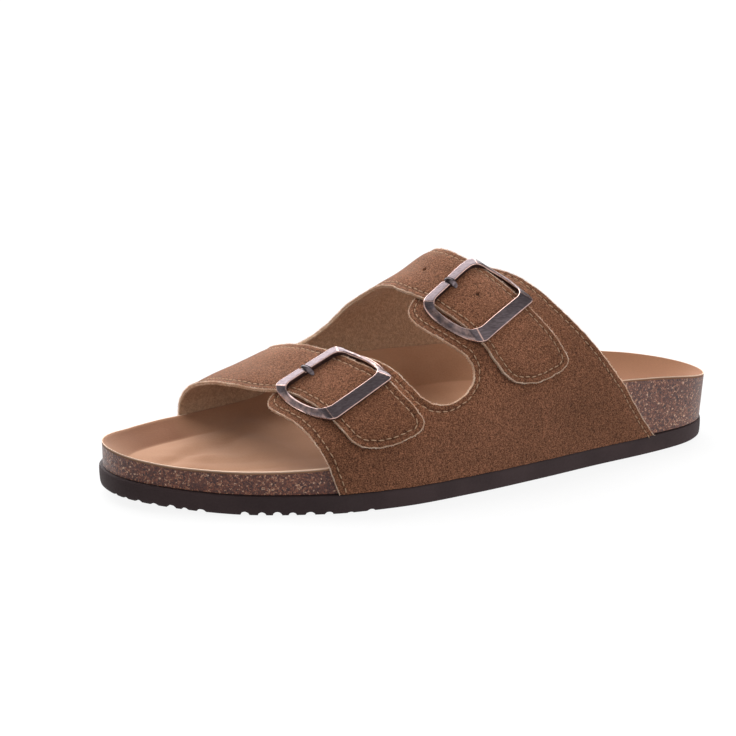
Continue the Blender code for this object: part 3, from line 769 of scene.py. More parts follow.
QUARTER_LOOP = (
    drawn_up(OUTER_QUARTER, 1) + list(FRONT_TAB_END) + list(OUTER_NOTCH) + list(REAR_TAB_END)
    + drawn_down(OUTER_QUARTER, 2)
)
STRAP_LOOP = (
    drawn_down(INNER_QUARTER, 1) + drawn_down(FRONT_STRAP, 1) + drawn_up(FRONT_STRAP, 2)
    + list(INNER_NOTCH) + drawn_down(REAR_STRAP, 1) + drawn_up(REAR_STRAP, 2) + drawn_up(INNER_QUARTER, 2)
)
print("quarter", len(QUARTER_LOOP), "drawn points, straps", len(STRAP_LOOP))

# %% [markdown]
# ### The lasted surface
#
# Leather is bent over the last without stretching much. One function gives the place on the last for a length
# and a girth angle. A map of the girth in millimetres then unrolls it, so that distances on a pattern are
# true. Rows at fixed distances from the cut edge, for the rounded edge and the stitches, become easy.

# %% The lasted surface
UPPER_FOOT = SOLE_THICK + GAP
FOOT_PROUD = 0.7
OUTER_FULLNESS = 1.12
INNER_FULLNESS = 0.86
WALL_SPAN = 25.0
NORMAL_LOOK = 0.4
# x, height at which the upper folds over the bed's edge on the outer side, on the inner side
UPPER_FOLD = (
    (14, 30.4, 29.4), (30, 32.4, 31.0), (44, 33.6, 32.4), (60, 34.0, 34.2), (90, 33.0, 39.0),
    (115, 30.0, 42.0), (138, 27.0, 42.0), (156, 23.5, 41.0), (175, 21.8, 34.0), (194, 20.8, 24.5),
    (209, 19.6, 22.0), (232, 18.2, 20.5), (254, 18.2, 19.6),
)
# x, height of the crest, y of the crest
INSTEP = (
    (38, 86.0, -2.0), (93, 85.8, -1.0), (108, 87.6, -1.5), (122, 89.2, -2.5), (138, 82.2, -2.8),
    (148, 77.2, -3.0), (161, 69.6, -3.0), (183, 58.0, -3.2), (194, 53.2, -3.7), (210, 46.2, -4.8),
    (218, 43.0, -5.2), (234, 36.0, -6.0),
)
outer_fold, inner_fold = (monotone(UPPER_FOLD, which) for which in (1, 2))
crest_height, crest_side = (monotone(INSTEP, which) for which in (1, 2))


def last_point(x, angle):
    """Outer face of the lower layer at a place along the shoe and a girth angle."""
    turn = np.radians(np.clip(angle, 0, 180))
    on_outer = angle <= 90
    power = np.where(on_outer, OUTER_FULLNESS, INNER_FULLNESS)
    side = np.where(on_outer, outer_edge(x) + FOOT_PROUD, inner_edge(x) - FOOT_PROUD)
    rim = np.where(on_outer, outer_fold(x), inner_fold(x))
    y = crest_side(x) + (side - crest_side(x)) * np.abs(np.cos(turn)) ** power
    z = rim + (crest_height(x) - rim) * np.sin(turn) ** power
    below = fade(np.maximum(-angle, angle - 180), 0, WALL_SPAN)
    foot = UPPER_FOOT + spring(x)
    return np.stack([x, y, np.where(below > 0, rim + (foot - rim) * below, z)], -1)


def last_normal(x, angle):
    along = last_point(x + NORMAL_LOOK, angle) - last_point(x - NORMAL_LOOK, angle)
    inside = np.clip(angle, -WALL_SPAN + NORMAL_LOOK, 180 + WALL_SPAN - NORMAL_LOOK)
    girth = last_point(x, inside + NORMAL_LOOK) - last_point(x, inside - NORMAL_LOOK)
    normal = np.cross(girth, along)
    return normal / np.linalg.norm(normal, axis=-1)[..., None]


def on_last(x, angle, lift):
    """A point lifted off the lasted face along its normal."""
    x = np.asarray(x, float)
    angle = np.asarray(angle, float)
    return last_point(x, angle) + last_normal(x, angle) * np.asarray(lift, float)[..., None]


print("crest of the instep", max(row[1] for row in INSTEP), "mm high")

# %% The unrolled map
MAP_X_STEP = 2.0
MAP_ANGLE_STEP = 0.5
MAP_X = np.arange(30.0, 244.0, MAP_X_STEP)
MAP_ANGLE = np.arange(-25.0, 205.1, MAP_ANGLE_STEP)
INSTEP_X = 150.0
map_x, map_angle = np.meshgrid(MAP_X, MAP_ANGLE, indexing="ij")
girth_step = np.linalg.norm(np.diff(last_point(map_x, map_angle), axis=1), axis=2)
GIRTH = np.concatenate([np.zeros((len(MAP_X), 1)), np.cumsum(girth_step, 1)], 1)
GIRTH -= GIRTH[:, [int(np.argmin(np.abs(MAP_ANGLE - 90)))]]


def map_row(x):
    return np.clip((x - MAP_X[0]) / MAP_X_STEP, 0, len(MAP_X) - 1.001)


def unrolled(x, angle):
    """Flat millimetres of places on the last: length along the shoe, girth from the crest."""
    row = map_row(x)
    col = np.clip((angle - MAP_ANGLE[0]) / MAP_ANGLE_STEP, 0, len(MAP_ANGLE) - 1.001)
    i, j = row.astype(int), col.astype(int)
    u, v = row - i, col - j
    low = GIRTH[i, j] * (1 - v) + GIRTH[i, j + 1] * v
    high = GIRTH[i + 1, j] * (1 - v) + GIRTH[i + 1, j + 1] * v
    return np.stack([x, low * (1 - u) + high * u], -1)


def rolled(flat):
    """Girth angle of flat places: the way back."""
    row = map_row(flat[:, 0])
    i = row.astype(int)
    angle = np.zeros(len(flat))
    for k in np.unique(i):
        at = i == k
        low = np.interp(flat[at, 1], GIRTH[k], MAP_ANGLE)
        high = np.interp(flat[at, 1], GIRTH[k + 1], MAP_ANGLE)
        angle[at] = low + (high - low) * (row[at] - k)
    return angle


instep_girth = GIRTH[int(map_row(INSTEP_X))]
print("girth over the instep", round(float(instep_girth[-1] - instep_girth[0]), 1), "mm")

# %% [markdown]
# ### The cut edge
#
# A knife leaves a smooth line through the drawn points. A Bezier curve with automatic handles is just that,
# and Blender's own curve object works it out. Its points are then spaced evenly in true millimetres.

# %% Drawing a pattern's edge
DRAW_STEPS = 12
BATCH = 800


def plain_mesh(maker):
    """The mesh that a curve or a tree of nodes makes. The object that made it is removed."""
    bpy.context.view_layer.update()
    made = bpy.data.meshes.new_from_object(maker.evaluated_get(bpy.context.evaluated_depsgraph_get()))
    bpy.data.objects.remove(maker)
    return made


def drawn_edge(name, points):
    """The cut edge as a smooth line in x and girth angle, from one foot corner round to the other."""
    curve = bpy.data.curves.new(name, "CURVE")
    curve.dimensions = "2D"
    curve.fill_mode = "NONE"
    curve.resolution_u = DRAW_STEPS
    spline = curve.splines.new("BEZIER")
    spline.bezier_points.add(len(points) - 1)
    for k, (point, place) in enumerate(zip(spline.bezier_points, points)):
        point.co = (place[0], place[1], 0)
        kind = "VECTOR" if k in (0, len(points) - 1) else "AUTO"
        point.handle_left_type = kind
        point.handle_right_type = kind
    spline.use_cyclic_u = True
    mesh = plain_mesh(in_scene(name, curve))
    line = np.array([vert.co[:2] for vert in mesh.vertices])
    bpy.data.meshes.remove(mesh)
    return line[:(len(points) - 1) * DRAW_STEPS + 1]


def resampled(line, spacing):
    along = np.concatenate([[0], np.cumsum(np.linalg.norm(np.diff(line, axis=0), axis=1))])
    at = np.linspace(0, along[-1], int(round(along[-1] / spacing)) + 1)
    return np.stack([np.interp(at, along, line[:, k]) for k in (0, 1)], -1)


def inside_loop(points, loop):
    """Which points lie inside a closed flat loop."""
    hit = np.zeros(len(points), bool)
    for (ax, ay), (bx, by) in zip(loop, np.roll(loop, -1, 0)):
        crosses = (ay > points[:, 1]) != (by > points[:, 1])
        if crosses.any():
            at = ax + (points[crosses, 1] - ay) / (by - ay) * (bx - ax)
            hit[crosses] ^= points[crosses, 0] < at
    return hit


def distance_to(points, line):
    """Distance from points to an open line, in two or three dimensions."""
    start, run = line[:-1], np.diff(line, axis=0)
    size = np.maximum((run ** 2).sum(1), 1e-12)
    nearest = np.full(len(points), np.inf)
    for k in range(0, len(points), BATCH):
        away = points[k:k + BATCH, None] - start[None]
        t = np.clip((away * run[None]).sum(2) / size, 0, 1)
        gap = np.linalg.norm(away - t[..., None] * run[None], axis=2)
        nearest[k:k + BATCH] = gap.min(1)
    return nearest


def inward_of(line, loop):
    """Unit direction into the pattern at each point of its edge."""
    along = np.gradient(line, axis=0)
    along /= np.linalg.norm(along, axis=1)[:, None]
    nxt = np.roll(loop, -1, 0)
    area = (loop[:, 0] * nxt[:, 1] - nxt[:, 0] * loop[:, 1]).sum()
    return np.stack([-along[:, 1], along[:, 0]], -1) * np.sign(area)


print("edges are drawn in", DRAW_STEPS, "steps from point to point")

# %% [markdown]
# ## Cutting the suede
#
# Each pattern is filled with points: rows that follow the cut edge, then an even triangular grid. A
# constrained Delaunay triangulation joins them and keeps the edge and the punched holes. A plain grid would
# be quicker, but its squares would leave steps along every curved edge.

# %% Cutting
EDGE_SPACING = 0.95
RAGGED_MM = 0.30
RAGGED_SIZE = 2.2
RAGGED_AFTER = 6
FOOT_POINTS = 90
FOOT_CLEAR = 0.6
EDGE_ROWS = (0.2, 0.5, 0.9, 1.4, 1.95, 2.5, 3.1, 3.9)
ROW_KEPT = 0.96
GRID_MM = 2.2
GRID_ROW = 0.866
GRID_SCATTER = 0.15
GRID_CLEAR = 0.6
HOLE_RADIUS = 0.75
HOLE_SIDES = 16
HOLE_RINGS = (0.0, 0.25, 0.7)
HOLE_CLEAR = 1.0
# x and girth angle of the holes punched in the rear strap
STRAP_HOLES = ((136.2, 82.0), (124.7, 53.5))


def cut_line(name, points, foot_angle):
    """The free cut edge, a little ragged, and the line along the foot that closes it."""
    drawn = drawn_edge(name, points)
    free = resampled(unrolled(drawn[:, 0], drawn[:, 1]), EDGE_SPACING)
    from_foot = np.minimum(np.arange(len(free)), np.arange(len(free))[::-1])
    ragged = RAGGED_MM * lumps(level(free, 0.0), RAGGED_SIZE, seed=6) * fade(from_foot, 0, RAGGED_AFTER)
    free += inward_of(free, free) * ragged[:, None]
    foot_x = np.linspace(drawn[-1, 0], drawn[0, 0], FOOT_POINTS)[1:-1]
    return free, unrolled(foot_x, np.full(len(foot_x), foot_angle))


def filling_points(free, foot, inward, seed):
    """Rows of points along the cut edge, then a grid with a little scatter."""
    loop = np.concatenate([free, foot])
    rows = []
    for away in EDGE_ROWS:
        row = free + inward * away
        rows.append(row[distance_to(row, free) > away * ROW_KEPT])
    low, high = loop.min(0), loop.max(0)
    grid_x, grid_y = np.meshgrid(
        np.arange(low[0], high[0], GRID_MM), np.arange(low[1], high[1], GRID_MM * GRID_ROW))
    grid_x[1::2] += GRID_MM / 2
    grid = np.stack([grid_x.ravel(), grid_y.ravel()], -1)
    grid += np.random.default_rng(seed).uniform(-GRID_SCATTER, GRID_SCATTER, grid.shape)
    grid = grid[inside_loop(grid, loop)]
    rows.append(grid[distance_to(grid, free) > EDGE_ROWS[-1] + GRID_MM * GRID_CLEAR])
    filling = np.concatenate(rows)
    filling = filling[inside_loop(filling, loop)]
    foot_line = np.concatenate([free[-1:], foot, free[:1]])
    return filling[distance_to(filling, foot_line) > FOOT_CLEAR]


def cut_pattern(name, points, foot_angle, holes=()):
    """Flat points and triangles of a pattern, with its cut edge and its holes."""
    free, foot = cut_line(name, points, foot_angle)
    loop = np.concatenate([free, foot])
    inward = inward_of(free, loop)
    filling = filling_points(free, foot, inward, seed=len(points))
    hole_turn = np.linspace(0, 2 * np.pi, HOLE_SIDES, endpoint=False)
    ring = np.stack([np.cos(hole_turn), np.sin(hole_turn)], -1)
    hole_flat = [unrolled(np.array([x]), np.array([angle]))[0] for x, angle in holes]
    hole_points = []
    for middle in hole_flat:
        filling = filling[np.linalg.norm(filling - middle, axis=1) > HOLE_RADIUS + HOLE_CLEAR]
        hole_points += [middle + ring * (HOLE_RADIUS + grown) for grown in HOLE_RINGS]
    every = np.concatenate([loop, filling] + hole_points)
    bounds = [list(range(len(loop)))]
    for k in range(len(hole_flat)):
        first = len(loop) + len(filling) + len(HOLE_RINGS) * k * HOLE_SIDES
        bounds.append(list(range(first, first + HOLE_SIDES)))
    flat, _, faces, *_ = delaunay_2d_cdt([Vector(point) for point in every], [], bounds, 1, 1e-6)
    flat = np.array([point[:] for point in flat])
    faces = np.array([face[:] for face in faces if len(face) == 3])
    middle = flat[faces].mean(1)
    for hole in hole_flat:
        keep = np.linalg.norm(middle - hole, axis=1) > HOLE_RADIUS * 0.9
        faces, middle = faces[keep], middle[keep]
    used = np.unique(faces)
    renumber = np.full(len(flat), -1)
    renumber[used] = np.arange(len(used))
    return {"flat": flat[used], "faces": renumber[faces], "free": free, "loop": loop, "inward": inward,
            "holes": hole_flat}


quarter_cut = cut_pattern("outer_quarter", QUARTER_LOOP, -WALL_SPAN)
strap_cut = cut_pattern("inner_quarter", STRAP_LOOP, 180 + WALL_SPAN, STRAP_HOLES)
print("quarter", len(quarter_cut["faces"]), "triangles a face, straps", len(strap_cut["faces"]))

# %% [markdown]
# ## Lasting the suede
#
# Both faces of the leather use the same triangles, one wall thickness apart, so the piece is closed and as
# thick as the real suede. A Solidify modifier would do the same, but it can't round the cut edge, sink the
# stitch groove or lift the straps over the quarter. Here each of these is one more term in the height.

# %% Creases and lapping straps
LAP_LIFT = 2.02
LIFT_FROM = 122.0
LIFT_TO = 82.0
TIP_RISE = 0.7
TIP_ANGLE = 34.0
CREASES_FROM, CREASES_TO, CREASES_OVER = -22, 202, 12
# x, girth angle, heading, length, width and height of the leather's soft creases
LEATHER_FOLDS = (
    (150, 9, 8, 26, 5.0, 0.45),
    (112, 6, 28, 30, 7.0, -0.45),
    (176, 2, 160, 24, 6.0, -0.40),
    (84, 2, 52, 20, 6.0, 0.35),
    (206, 88, 70, 14, 5.0, -0.45),
    (214, 104, 80, 18, 5.0, 0.40),
    (199, 112, 60, 16, 5.0, -0.40),
    (139, 96, 70, 18, 5.0, -0.45),
    (130, 112, 100, 20, 6.0, 0.40),
    (150, 135, 80, 18, 6.0, -0.50),
    (206, 150, 75, 18, 7.0, 0.45),
    (172, 168, 10, 26, 6.0, 0.45),
    (128, 165, 150, 26, 7.0, -0.45),
)
fold_places = np.array([fold[:2] for fold in LEATHER_FOLDS], float)
fold_flat = unrolled(fold_places[:, 0], fold_places[:, 1])
FLAT_FOLDS = [(*flat, *fold[2:]) for flat, fold in zip(fold_flat, LEATHER_FOLDS)]


def no_lift(angle):
    """The outer quarter lies on the last."""
    return np.zeros(len(angle))


def strap_lift(angle):
    """How far the straps have risen to pass over the outer quarter, and the spring of their free ends."""
    t = fade(angle, LIFT_FROM, LIFT_TO - LIFT_FROM)
    tip = fade(angle, TIP_ANGLE, -TIP_ANGLE)
    return LAP_LIFT * t * t * (3 - 2 * t) + TIP_RISE * tip * tip


def leather_form(flat, angle):
    """Height of the creases, dying out at the sole."""
    off_sole = fade(angle, CREASES_FROM, CREASES_OVER) * fade(angle, CREASES_TO, -CREASES_OVER)
    return soft_folds(flat[:, 0], flat[:, 1], FLAT_FOLDS) * off_sole


print(len(FLAT_FOLDS), "soft creases")

# %% Lasting
WALL = 2.0
EDGE_RADIUS = 0.50
STITCH_IN = 2.5
GROOVE_DEEP = 0.28
GROOVE_WIDE = 0.8
NAP_HIGH, NAP_SIZE = 0.05, 2.6
FRAY_HIGH, FRAY_SIZE, FRAY_WITHIN = 0.10, 0.9, 0.3
UNDER_ROUNDING = 0.6
READ_WITHIN = 12


def lasted_shell(cut, lift_of):
    """The pattern as leather: both faces bent over the last and closed round every edge."""
    flat, faces = cut["flat"], cut["faces"]
    angle = rolled(flat)
    free_3d = last_point(cut["free"][:, 0], rolled(cut["free"]))
    raw_mm = distance_to(last_point(flat[:, 0], angle), free_3d)
    edge_mm = raw_mm
    for hole in cut["holes"]:
        edge_mm = np.minimum(edge_mm, np.linalg.norm(flat - hole, axis=1) - HOLE_RADIUS)
    edge_mm = np.maximum(edge_mm, 0)
    deep = np.clip(EDGE_RADIUS - edge_mm, 0, EDGE_RADIUS)
    rounding = EDGE_RADIUS - np.sqrt(EDGE_RADIUS ** 2 - deep ** 2)
    groove = GROOVE_DEEP * np.exp(-((raw_mm - STITCH_IN) / GROOVE_WIDE) ** 2)
    nap = lumps(level(flat, 0.0), NAP_SIZE, seed=4) * NAP_HIGH
    fray = lumps(level(flat, 0.0), FRAY_SIZE, seed=9) * FRAY_HIGH * (edge_mm < FRAY_WITHIN)
    lift = lift_of(angle) + leather_form(flat, angle)
    over = on_last(flat[:, 0], angle, lift - rounding - groove + nap + fray)
    under = on_last(flat[:, 0], angle, lift - WALL + rounding * UNDER_ROUNDING)
    count = len(flat)
    edges = np.sort(np.concatenate([faces[:, [0, 1]], faces[:, [1, 2]], faces[:, [2, 0]]]), axis=1)
    once, times = np.unique(edges, axis=0, return_counts=True)
    shell = [tuple(face) for face in faces] + [tuple(face[::-1] + count) for face in faces]
    shell += [(a, b, b + count, a + count) for a, b in once[times == 1]]
    readings = {
        "raw_mm": np.tile(np.minimum(raw_mm, READ_WITHIN), 2),
        "lining": np.repeat([0.0, 1.0], count),
    }
    return np.concatenate([over, under]), shell, readings


quarter_shell = lasted_shell(quarter_cut, no_lift)
strap_shell = lasted_shell(strap_cut, strap_lift)
print("leather", WALL, "mm thick,", len(quarter_shell[1]) + len(strap_shell[1]), "faces")

# %% [markdown]
# ## Suede
#
# Suede is leather with its fibres raised. It hardly reflects, it scatters light at the rim of each form, and
# it is blotchy where the fibres lie one way or another. Hair strands could stand for the nap, but millions
# would be needed. Three sizes of noise do it instead: broad brushing, a millimetre grain and a fine nap that
# also makes the bump. The readings stored on the mesh tell the finish where the cut edge, the stitch groove
# and the flesh side are.

# %% Suede finish
BROWN_DARK = rgb(0.182, 0.0760, 0.0405)
BROWN_LIGHT = rgb(0.226, 0.0955, 0.0525)
FLESH_SIDE = (0.400, 0.255, 0.165)
RAW_EDGE = rgb(0.86, 0.600, 0.410)
suede = Finish(
    "brown_suede", Sheen_Weight=0.22, Sheen_Roughness=0.40, Sheen_Tint=rgb(1.0, 0.78, 0.62),
    Specular_IOR_Level=0.08)
where = suede.place()
broad = suede.grain(where, size_mm=30.0, detail=3.0)
speckle = suede.grain(where, size_mm=1.3).between(0.30, 0.70)
nap = suede.grain(where, size_mm=0.46, detail=2.5).between(0.34, 0.78)
ground = suede.mix(broad.between(0.32, 0.68), BROWN_DARK, BROWN_LIGHT)
ground = suede.scaled(ground, 0.30 + speckle * 0.34 + nap * 1.50)
flesh = suede.scaled(FLESH_SIDE, 0.72 + speckle * 0.28 + nap * 0.28)
lining = suede.reading("lining")
# painted shade: the suede's colour is darker along the stitch groove
groove_shade = (suede.reading("raw_mm") - STITCH_IN).size().between(1.0, 0.2) * (1 - lining)
cut_edge = suede.reading("raw_mm").between(0.40, 0.02) * (0.75 + nap * 0.25) * (1 - lining * 0.75)
face_colour = suede.mix(lining.between(0.45, 0.55), suede.scaled(ground, 1 - groove_shade * 0.35), flesh)
suede.show(
    Base_Color=suede.mix(cut_edge, face_colour, RAW_EDGE),
    Roughness=0.86 + nap * 0.14,
    Normal=suede.bump(speckle * 0.35 + nap * 0.65, depth_mm=0.26, strength=0.8))

strap_start = len(quarter_shell[0])
upper = new_piece(
    "upper_suede",
    np.concatenate([quarter_shell[0], strap_shell[0]]),
    quarter_shell[1] + [tuple(i + strap_start for i in face) for face in strap_shell[1]],
    suede.material,
    {key: np.concatenate([quarter_shell[2][key], strap_shell[2][key]]) for key in quarter_shell[2]},
    sharp_deg=75)

# %% [markdown]
# ## Stitches
#
# One row of tan thread runs two and a half millimetres inside every cut edge. Stitches repeat along a path,
# which is what Geometry Nodes are for: the row becomes a curve, the curve becomes evenly spaced points, and
# each point gets one flattened bead of thread that lies along the row and faces out of the leather. The
# surface normal travels with the path as an attribute.

# %% A tree for what runs along an edge
def add(tree, kind, settings=None, sockets=None):
    made = tree.nodes.new(kind)
    for key, value in (settings or {}).items():
        setattr(made, key, value)
    for key, value in (sockets or {}).items():
        if isinstance(value, bpy.types.NodeSocket):
            tree.links.new(value, made.inputs[key])
        else:
            made.inputs[key].default_value = value
    return made.outputs[0] if len(made.outputs) else made


def edge_tree(name, sizes, material):
    """Beads along a path: named sizes for spacing, length, width, height, tilt and the bead's own faces."""
    tree = bpy.data.node_groups.new(name, "GeometryNodeTree")
    tree.interface.new_socket(name="Geometry", in_out="INPUT", socket_type="NodeSocketGeometry")
    for label in sizes:
        tree.interface.new_socket(name=label, in_out="INPUT", socket_type="NodeSocketFloat")
    tree.interface.new_socket(name="Geometry", in_out="OUTPUT", socket_type="NodeSocketGeometry")
    entry = tree.nodes.new("NodeGroupInput").outputs
    path = add(tree, "GeometryNodeMeshToCurve", None, {0: entry["Geometry"]})
    points = add(tree, "GeometryNodeResampleCurve", {"mode": "LENGTH"}, {
        "Curve": path, "Length": entry["Spacing"]})
    facing = add(tree, "GeometryNodeInputNamedAttribute", {"data_type": "FLOAT_VECTOR"}, {
        "Name": "surface_normal"})
    tangent = add(tree, "GeometryNodeInputTangent")
    upright = add(tree, "FunctionNodeAlignRotationToVector", {"axis": "Z"}, {"Vector": facing})
    aligned = add(tree, "FunctionNodeAlignRotationToVector", {"axis": "X", "pivot_axis": "Z"}, {
        "Rotation": upright, "Vector": tangent})
    spread = add(tree, "ShaderNodeCombineXYZ", None, {
        "X": entry["Roll"], "Y": entry["Pitch"], "Z": entry["Yaw"]})
    back = add(tree, "ShaderNodeVectorMath", {"operation": "SCALE"}, {0: spread, "Scale": -1.0})
    tilt = add(tree, "FunctionNodeRandomValue", {"data_type": "FLOAT_VECTOR"}, {0: back, 1: spread})
    turned = add(tree, "FunctionNodeEulerToRotation", None, {0: tilt})
    jittered = add(tree, "FunctionNodeRotateRotation", {"rotation_space": "LOCAL"}, {
        "Rotation": aligned, "Rotate By": turned})
    bead = add(tree, "GeometryNodeMeshUVSphere", None, {
        "Segments": entry["Sides"], "Rings": entry["Rings"], "Radius": 0.5})
    size = add(tree, "ShaderNodeCombineXYZ", None, {
        "X": entry["Length"], "Y": entry["Width"], "Z": entry["Height"]})
    shaped = add(tree, "GeometryNodeTransform", None, {"Geometry": bead, "Scale": size})
    beads = add(tree, "GeometryNodeInstanceOnPoints", None, {
        "Points": points, "Instance": shaped, "Rotation": jittered})
    real = add(tree, "GeometryNodeRealizeInstances", None, {0: beads})
    smooth = add(tree, "GeometryNodeSetShadeSmooth", None, {0: real})
    coloured = add(tree, "GeometryNodeSetMaterial", None, {"Geometry": smooth, "Material": material})
    add(tree, "NodeGroupOutput", None, {0: coloured})
    return tree


def run_along(name, rows, sizes, material):
    """One plain mesh of beads along lines in the part's frame; each row has its lines and their normals."""
    lines = [line for row in rows for line in row[0]]
    normals = [way for row in rows for way in row[1]]
    mesh = bpy.data.meshes.new(name + "_path")
    edges = []
    first = 0
    for line in lines:
        edges += [(first + k, first + k + 1) for k in range(len(line) - 1)]
        first += len(line)
    mesh.from_pydata([tuple(point) for point in np.concatenate(lines)], edges, [])
    layer = mesh.attributes.new("surface_normal", "FLOAT_VECTOR", "POINT")
    layer.data.foreach_set("vector", np.concatenate(normals).astype(np.float32).ravel())
    path = in_scene(name + "_path", mesh)
    tree = edge_tree(name, sizes, material)
    step = path.modifiers.new(name, "NODES")
    step.node_group = tree
    for item in tree.interface.items_tree:
        if item.in_out == "INPUT" and item.name in sizes:
            step[item.identifier] = sizes[item.name]
    made = plain_mesh(path)
    made.name = name
    if not made.materials:
        made.materials.append(material)
    print(name, len(made.vertices), "points", len(made.polygons), "faces")
    return in_scene(name, made)


print("one tree for stitches and fibres")

# %% Rows of stitches
THREAD_SIZES = {
    "Spacing": 0.0031, "Length": 0.0027, "Width": 0.00058, "Height": 0.00055, "Roll": 0.0, "Pitch": 0.06,
    "Yaw": 0.14, "Sides": 6.0, "Rings": 5.0,
}
THREAD_PROUD = 0.02
STITCH_KEPT = 0.97
ROW_BREAK_MM = 3.0
ROW_BREAK_POINTS = 12
SHORT_ROW = 6


def stitch_rows(cut, lift_of, cover=None):
    """Lines and normals of the rows inside a pattern's cut edge, left out where a strap covers them."""
    row = cut["free"] + cut["inward"] * STITCH_IN
    good = (distance_to(row, cut["free"]) > STITCH_IN * STITCH_KEPT) & inside_loop(row, cut["loop"])
    if cover is not None:
        good &= ~inside_loop(row, cover)
    angle = rolled(row)
    lift = lift_of(angle) + leather_form(row, angle) - GROOVE_DEEP + THREAD_PROUD
    places = to_part(on_last(row[:, 0], angle, lift))
    facing = last_normal(row[:, 0], angle)
    runs = [[]]
    for index in np.flatnonzero(good):
        if runs[-1]:
            before = runs[-1][-1]
            far = np.linalg.norm(row[index] - row[before]) > ROW_BREAK_MM
            if far or index - before > ROW_BREAK_POINTS:
                runs.append([])
        runs[-1].append(index)
    runs = [run for run in runs if len(run) > SHORT_ROW]
    return [places[run] for run in runs], [facing[run] for run in runs]


THREAD_DARK = rgb(0.300, 0.165, 0.095)
THREAD_LIGHT = rgb(0.620, 0.400, 0.250)
thread = Finish("tan_thread", Specular_IOR_Level=0.25)
ply = thread.grain(thread.place(), size_mm=0.35)
thread.show(
    Base_Color=thread.mix(ply, THREAD_DARK, THREAD_LIGHT),
    Roughness=0.65 + ply * 0.25,
    Normal=thread.bump(ply, depth_mm=0.08, strength=0.6))
sewn = [stitch_rows(quarter_cut, no_lift, strap_cut["loop"]), stitch_rows(strap_cut, strap_lift)]
stitches = run_along("upper_stitches", sewn, THREAD_SIZES, thread.material)

# %% [markdown]
# ## Frayed edges
#
# Suede that was cut and not turned in shows its fibres at the edge. They are the pale fuzz that makes a
# strap's outline look soft. A hair system could grow them, but each strand has to be a mesh in the end. So
# the same tree as for the stitches sets them: short thin slivers close together, thrown about by a fixed
# seed, on three lines along each cut edge.

# %% Fibres on the cut edges
FIBRE_SIZES = {
    "Spacing": 0.00042, "Length": 0.00140, "Width": 0.00020, "Height": 0.00020, "Roll": 1.2, "Pitch": 1.1,
    "Yaw": 1.5, "Sides": 3.0, "Rings": 3.0,
}
FIBRE_LEVELS = (-0.05, -0.35, -1.20)
SHORT_FRINGE = 4


def edge_lines(cut, lift_of, cover=None):
    """Lines along a pattern's cut edge at several depths in the leather, and the way out of it."""
    free = cut["free"]
    angle = rolled(free)
    lift = lift_of(angle) + leather_form(free, angle)
    lines = [to_part(on_last(free[:, 0], angle, lift + down)) for down in FIBRE_LEVELS]
    normals = [last_normal(free[:, 0], angle)] * len(lines)
    if cover is None:
        return lines, normals
    kept = np.flatnonzero(~inside_loop(free, cover))
    runs = np.split(kept, np.flatnonzero(np.diff(kept) > 1) + 1)
    runs = [run for run in runs if len(run) > SHORT_FRINGE]
    return [line[run] for line in lines for run in runs], [way[run] for way in normals for run in runs]


FIBRE_DARK = rgb(0.760, 0.500, 0.345)
FIBRE_LIGHT = rgb(1.0, 0.800, 0.640)
fuzz = Finish("raw_edge_fibre", Specular_IOR_Level=0.1, Sheen_Weight=0.3)
tuft = fuzz.grain(fuzz.place(), size_mm=3.0)
fuzz.show(
    Base_Color=fuzz.mix(tuft.between(0.35, 0.65), FIBRE_DARK, FIBRE_LIGHT),
    Roughness=0.8 + tuft * 0.2)
frayed = [edge_lines(quarter_cut, no_lift, strap_cut["loop"]), edge_lines(strap_cut, strap_lift)]
fibres = run_along("upper_edge_fibres", frayed, FIBRE_SIZES, fuzz.material)

# %% [markdown]
# ## Buckles
#
# Each buckle is a cast frame: a narrow top bar with a notch for the pin, two bowed arms and a broad flat
# lower bar. A curve with a bevel profile would make a frame, but of one section all round. Here two loops,
# the outline and the window, are drawn in the buckle's own millimetres, and the section between them
# changes as it goes round. Cast metal doesn't drape, so its bars keep straight above the strap.

# %% Metal above a strap
# front and rear end of the top bar, rear and front end of the lower bar: x and girth angle
BUCKLES = {
    "front": ((210.5, 61.5), (181.8, 68.1), (168.9, 39.5), (196.3, 29.4)),
    "rear": ((147.0, 62.8), (119.3, 72.0), (100.3, 47.8), (129.8, 33.9)),
}
BUCKLE_LONG = 31.0
BUCKLE_TALL = 30.0
BAR_FOOT = 2.1
ARCH_KEPT = 0.8
BAR_RAISE = 0.4
half_long, half_tall = BUCKLE_LONG / 2, BUCKLE_TALL / 2


def on_strap(which, across, along, lift):
    """A point above the lasted strap from the buckle's own millimetres."""
    top_front, top_rear, low_rear, low_front = (np.array(corner) for corner in BUCKLES[which])
    u = np.asarray(across, float)[..., None] / BUCKLE_LONG + 0.5
    v = np.asarray(along, float)[..., None] / BUCKLE_TALL + 0.5
    top = top_front + (top_rear - top_front) * u
    low = low_front + (low_rear - low_front) * u
    place = top + (low - top) * v
    return on_last(place[..., 0], place[..., 1], np.broadcast_to(lift, place.shape[:-1]))


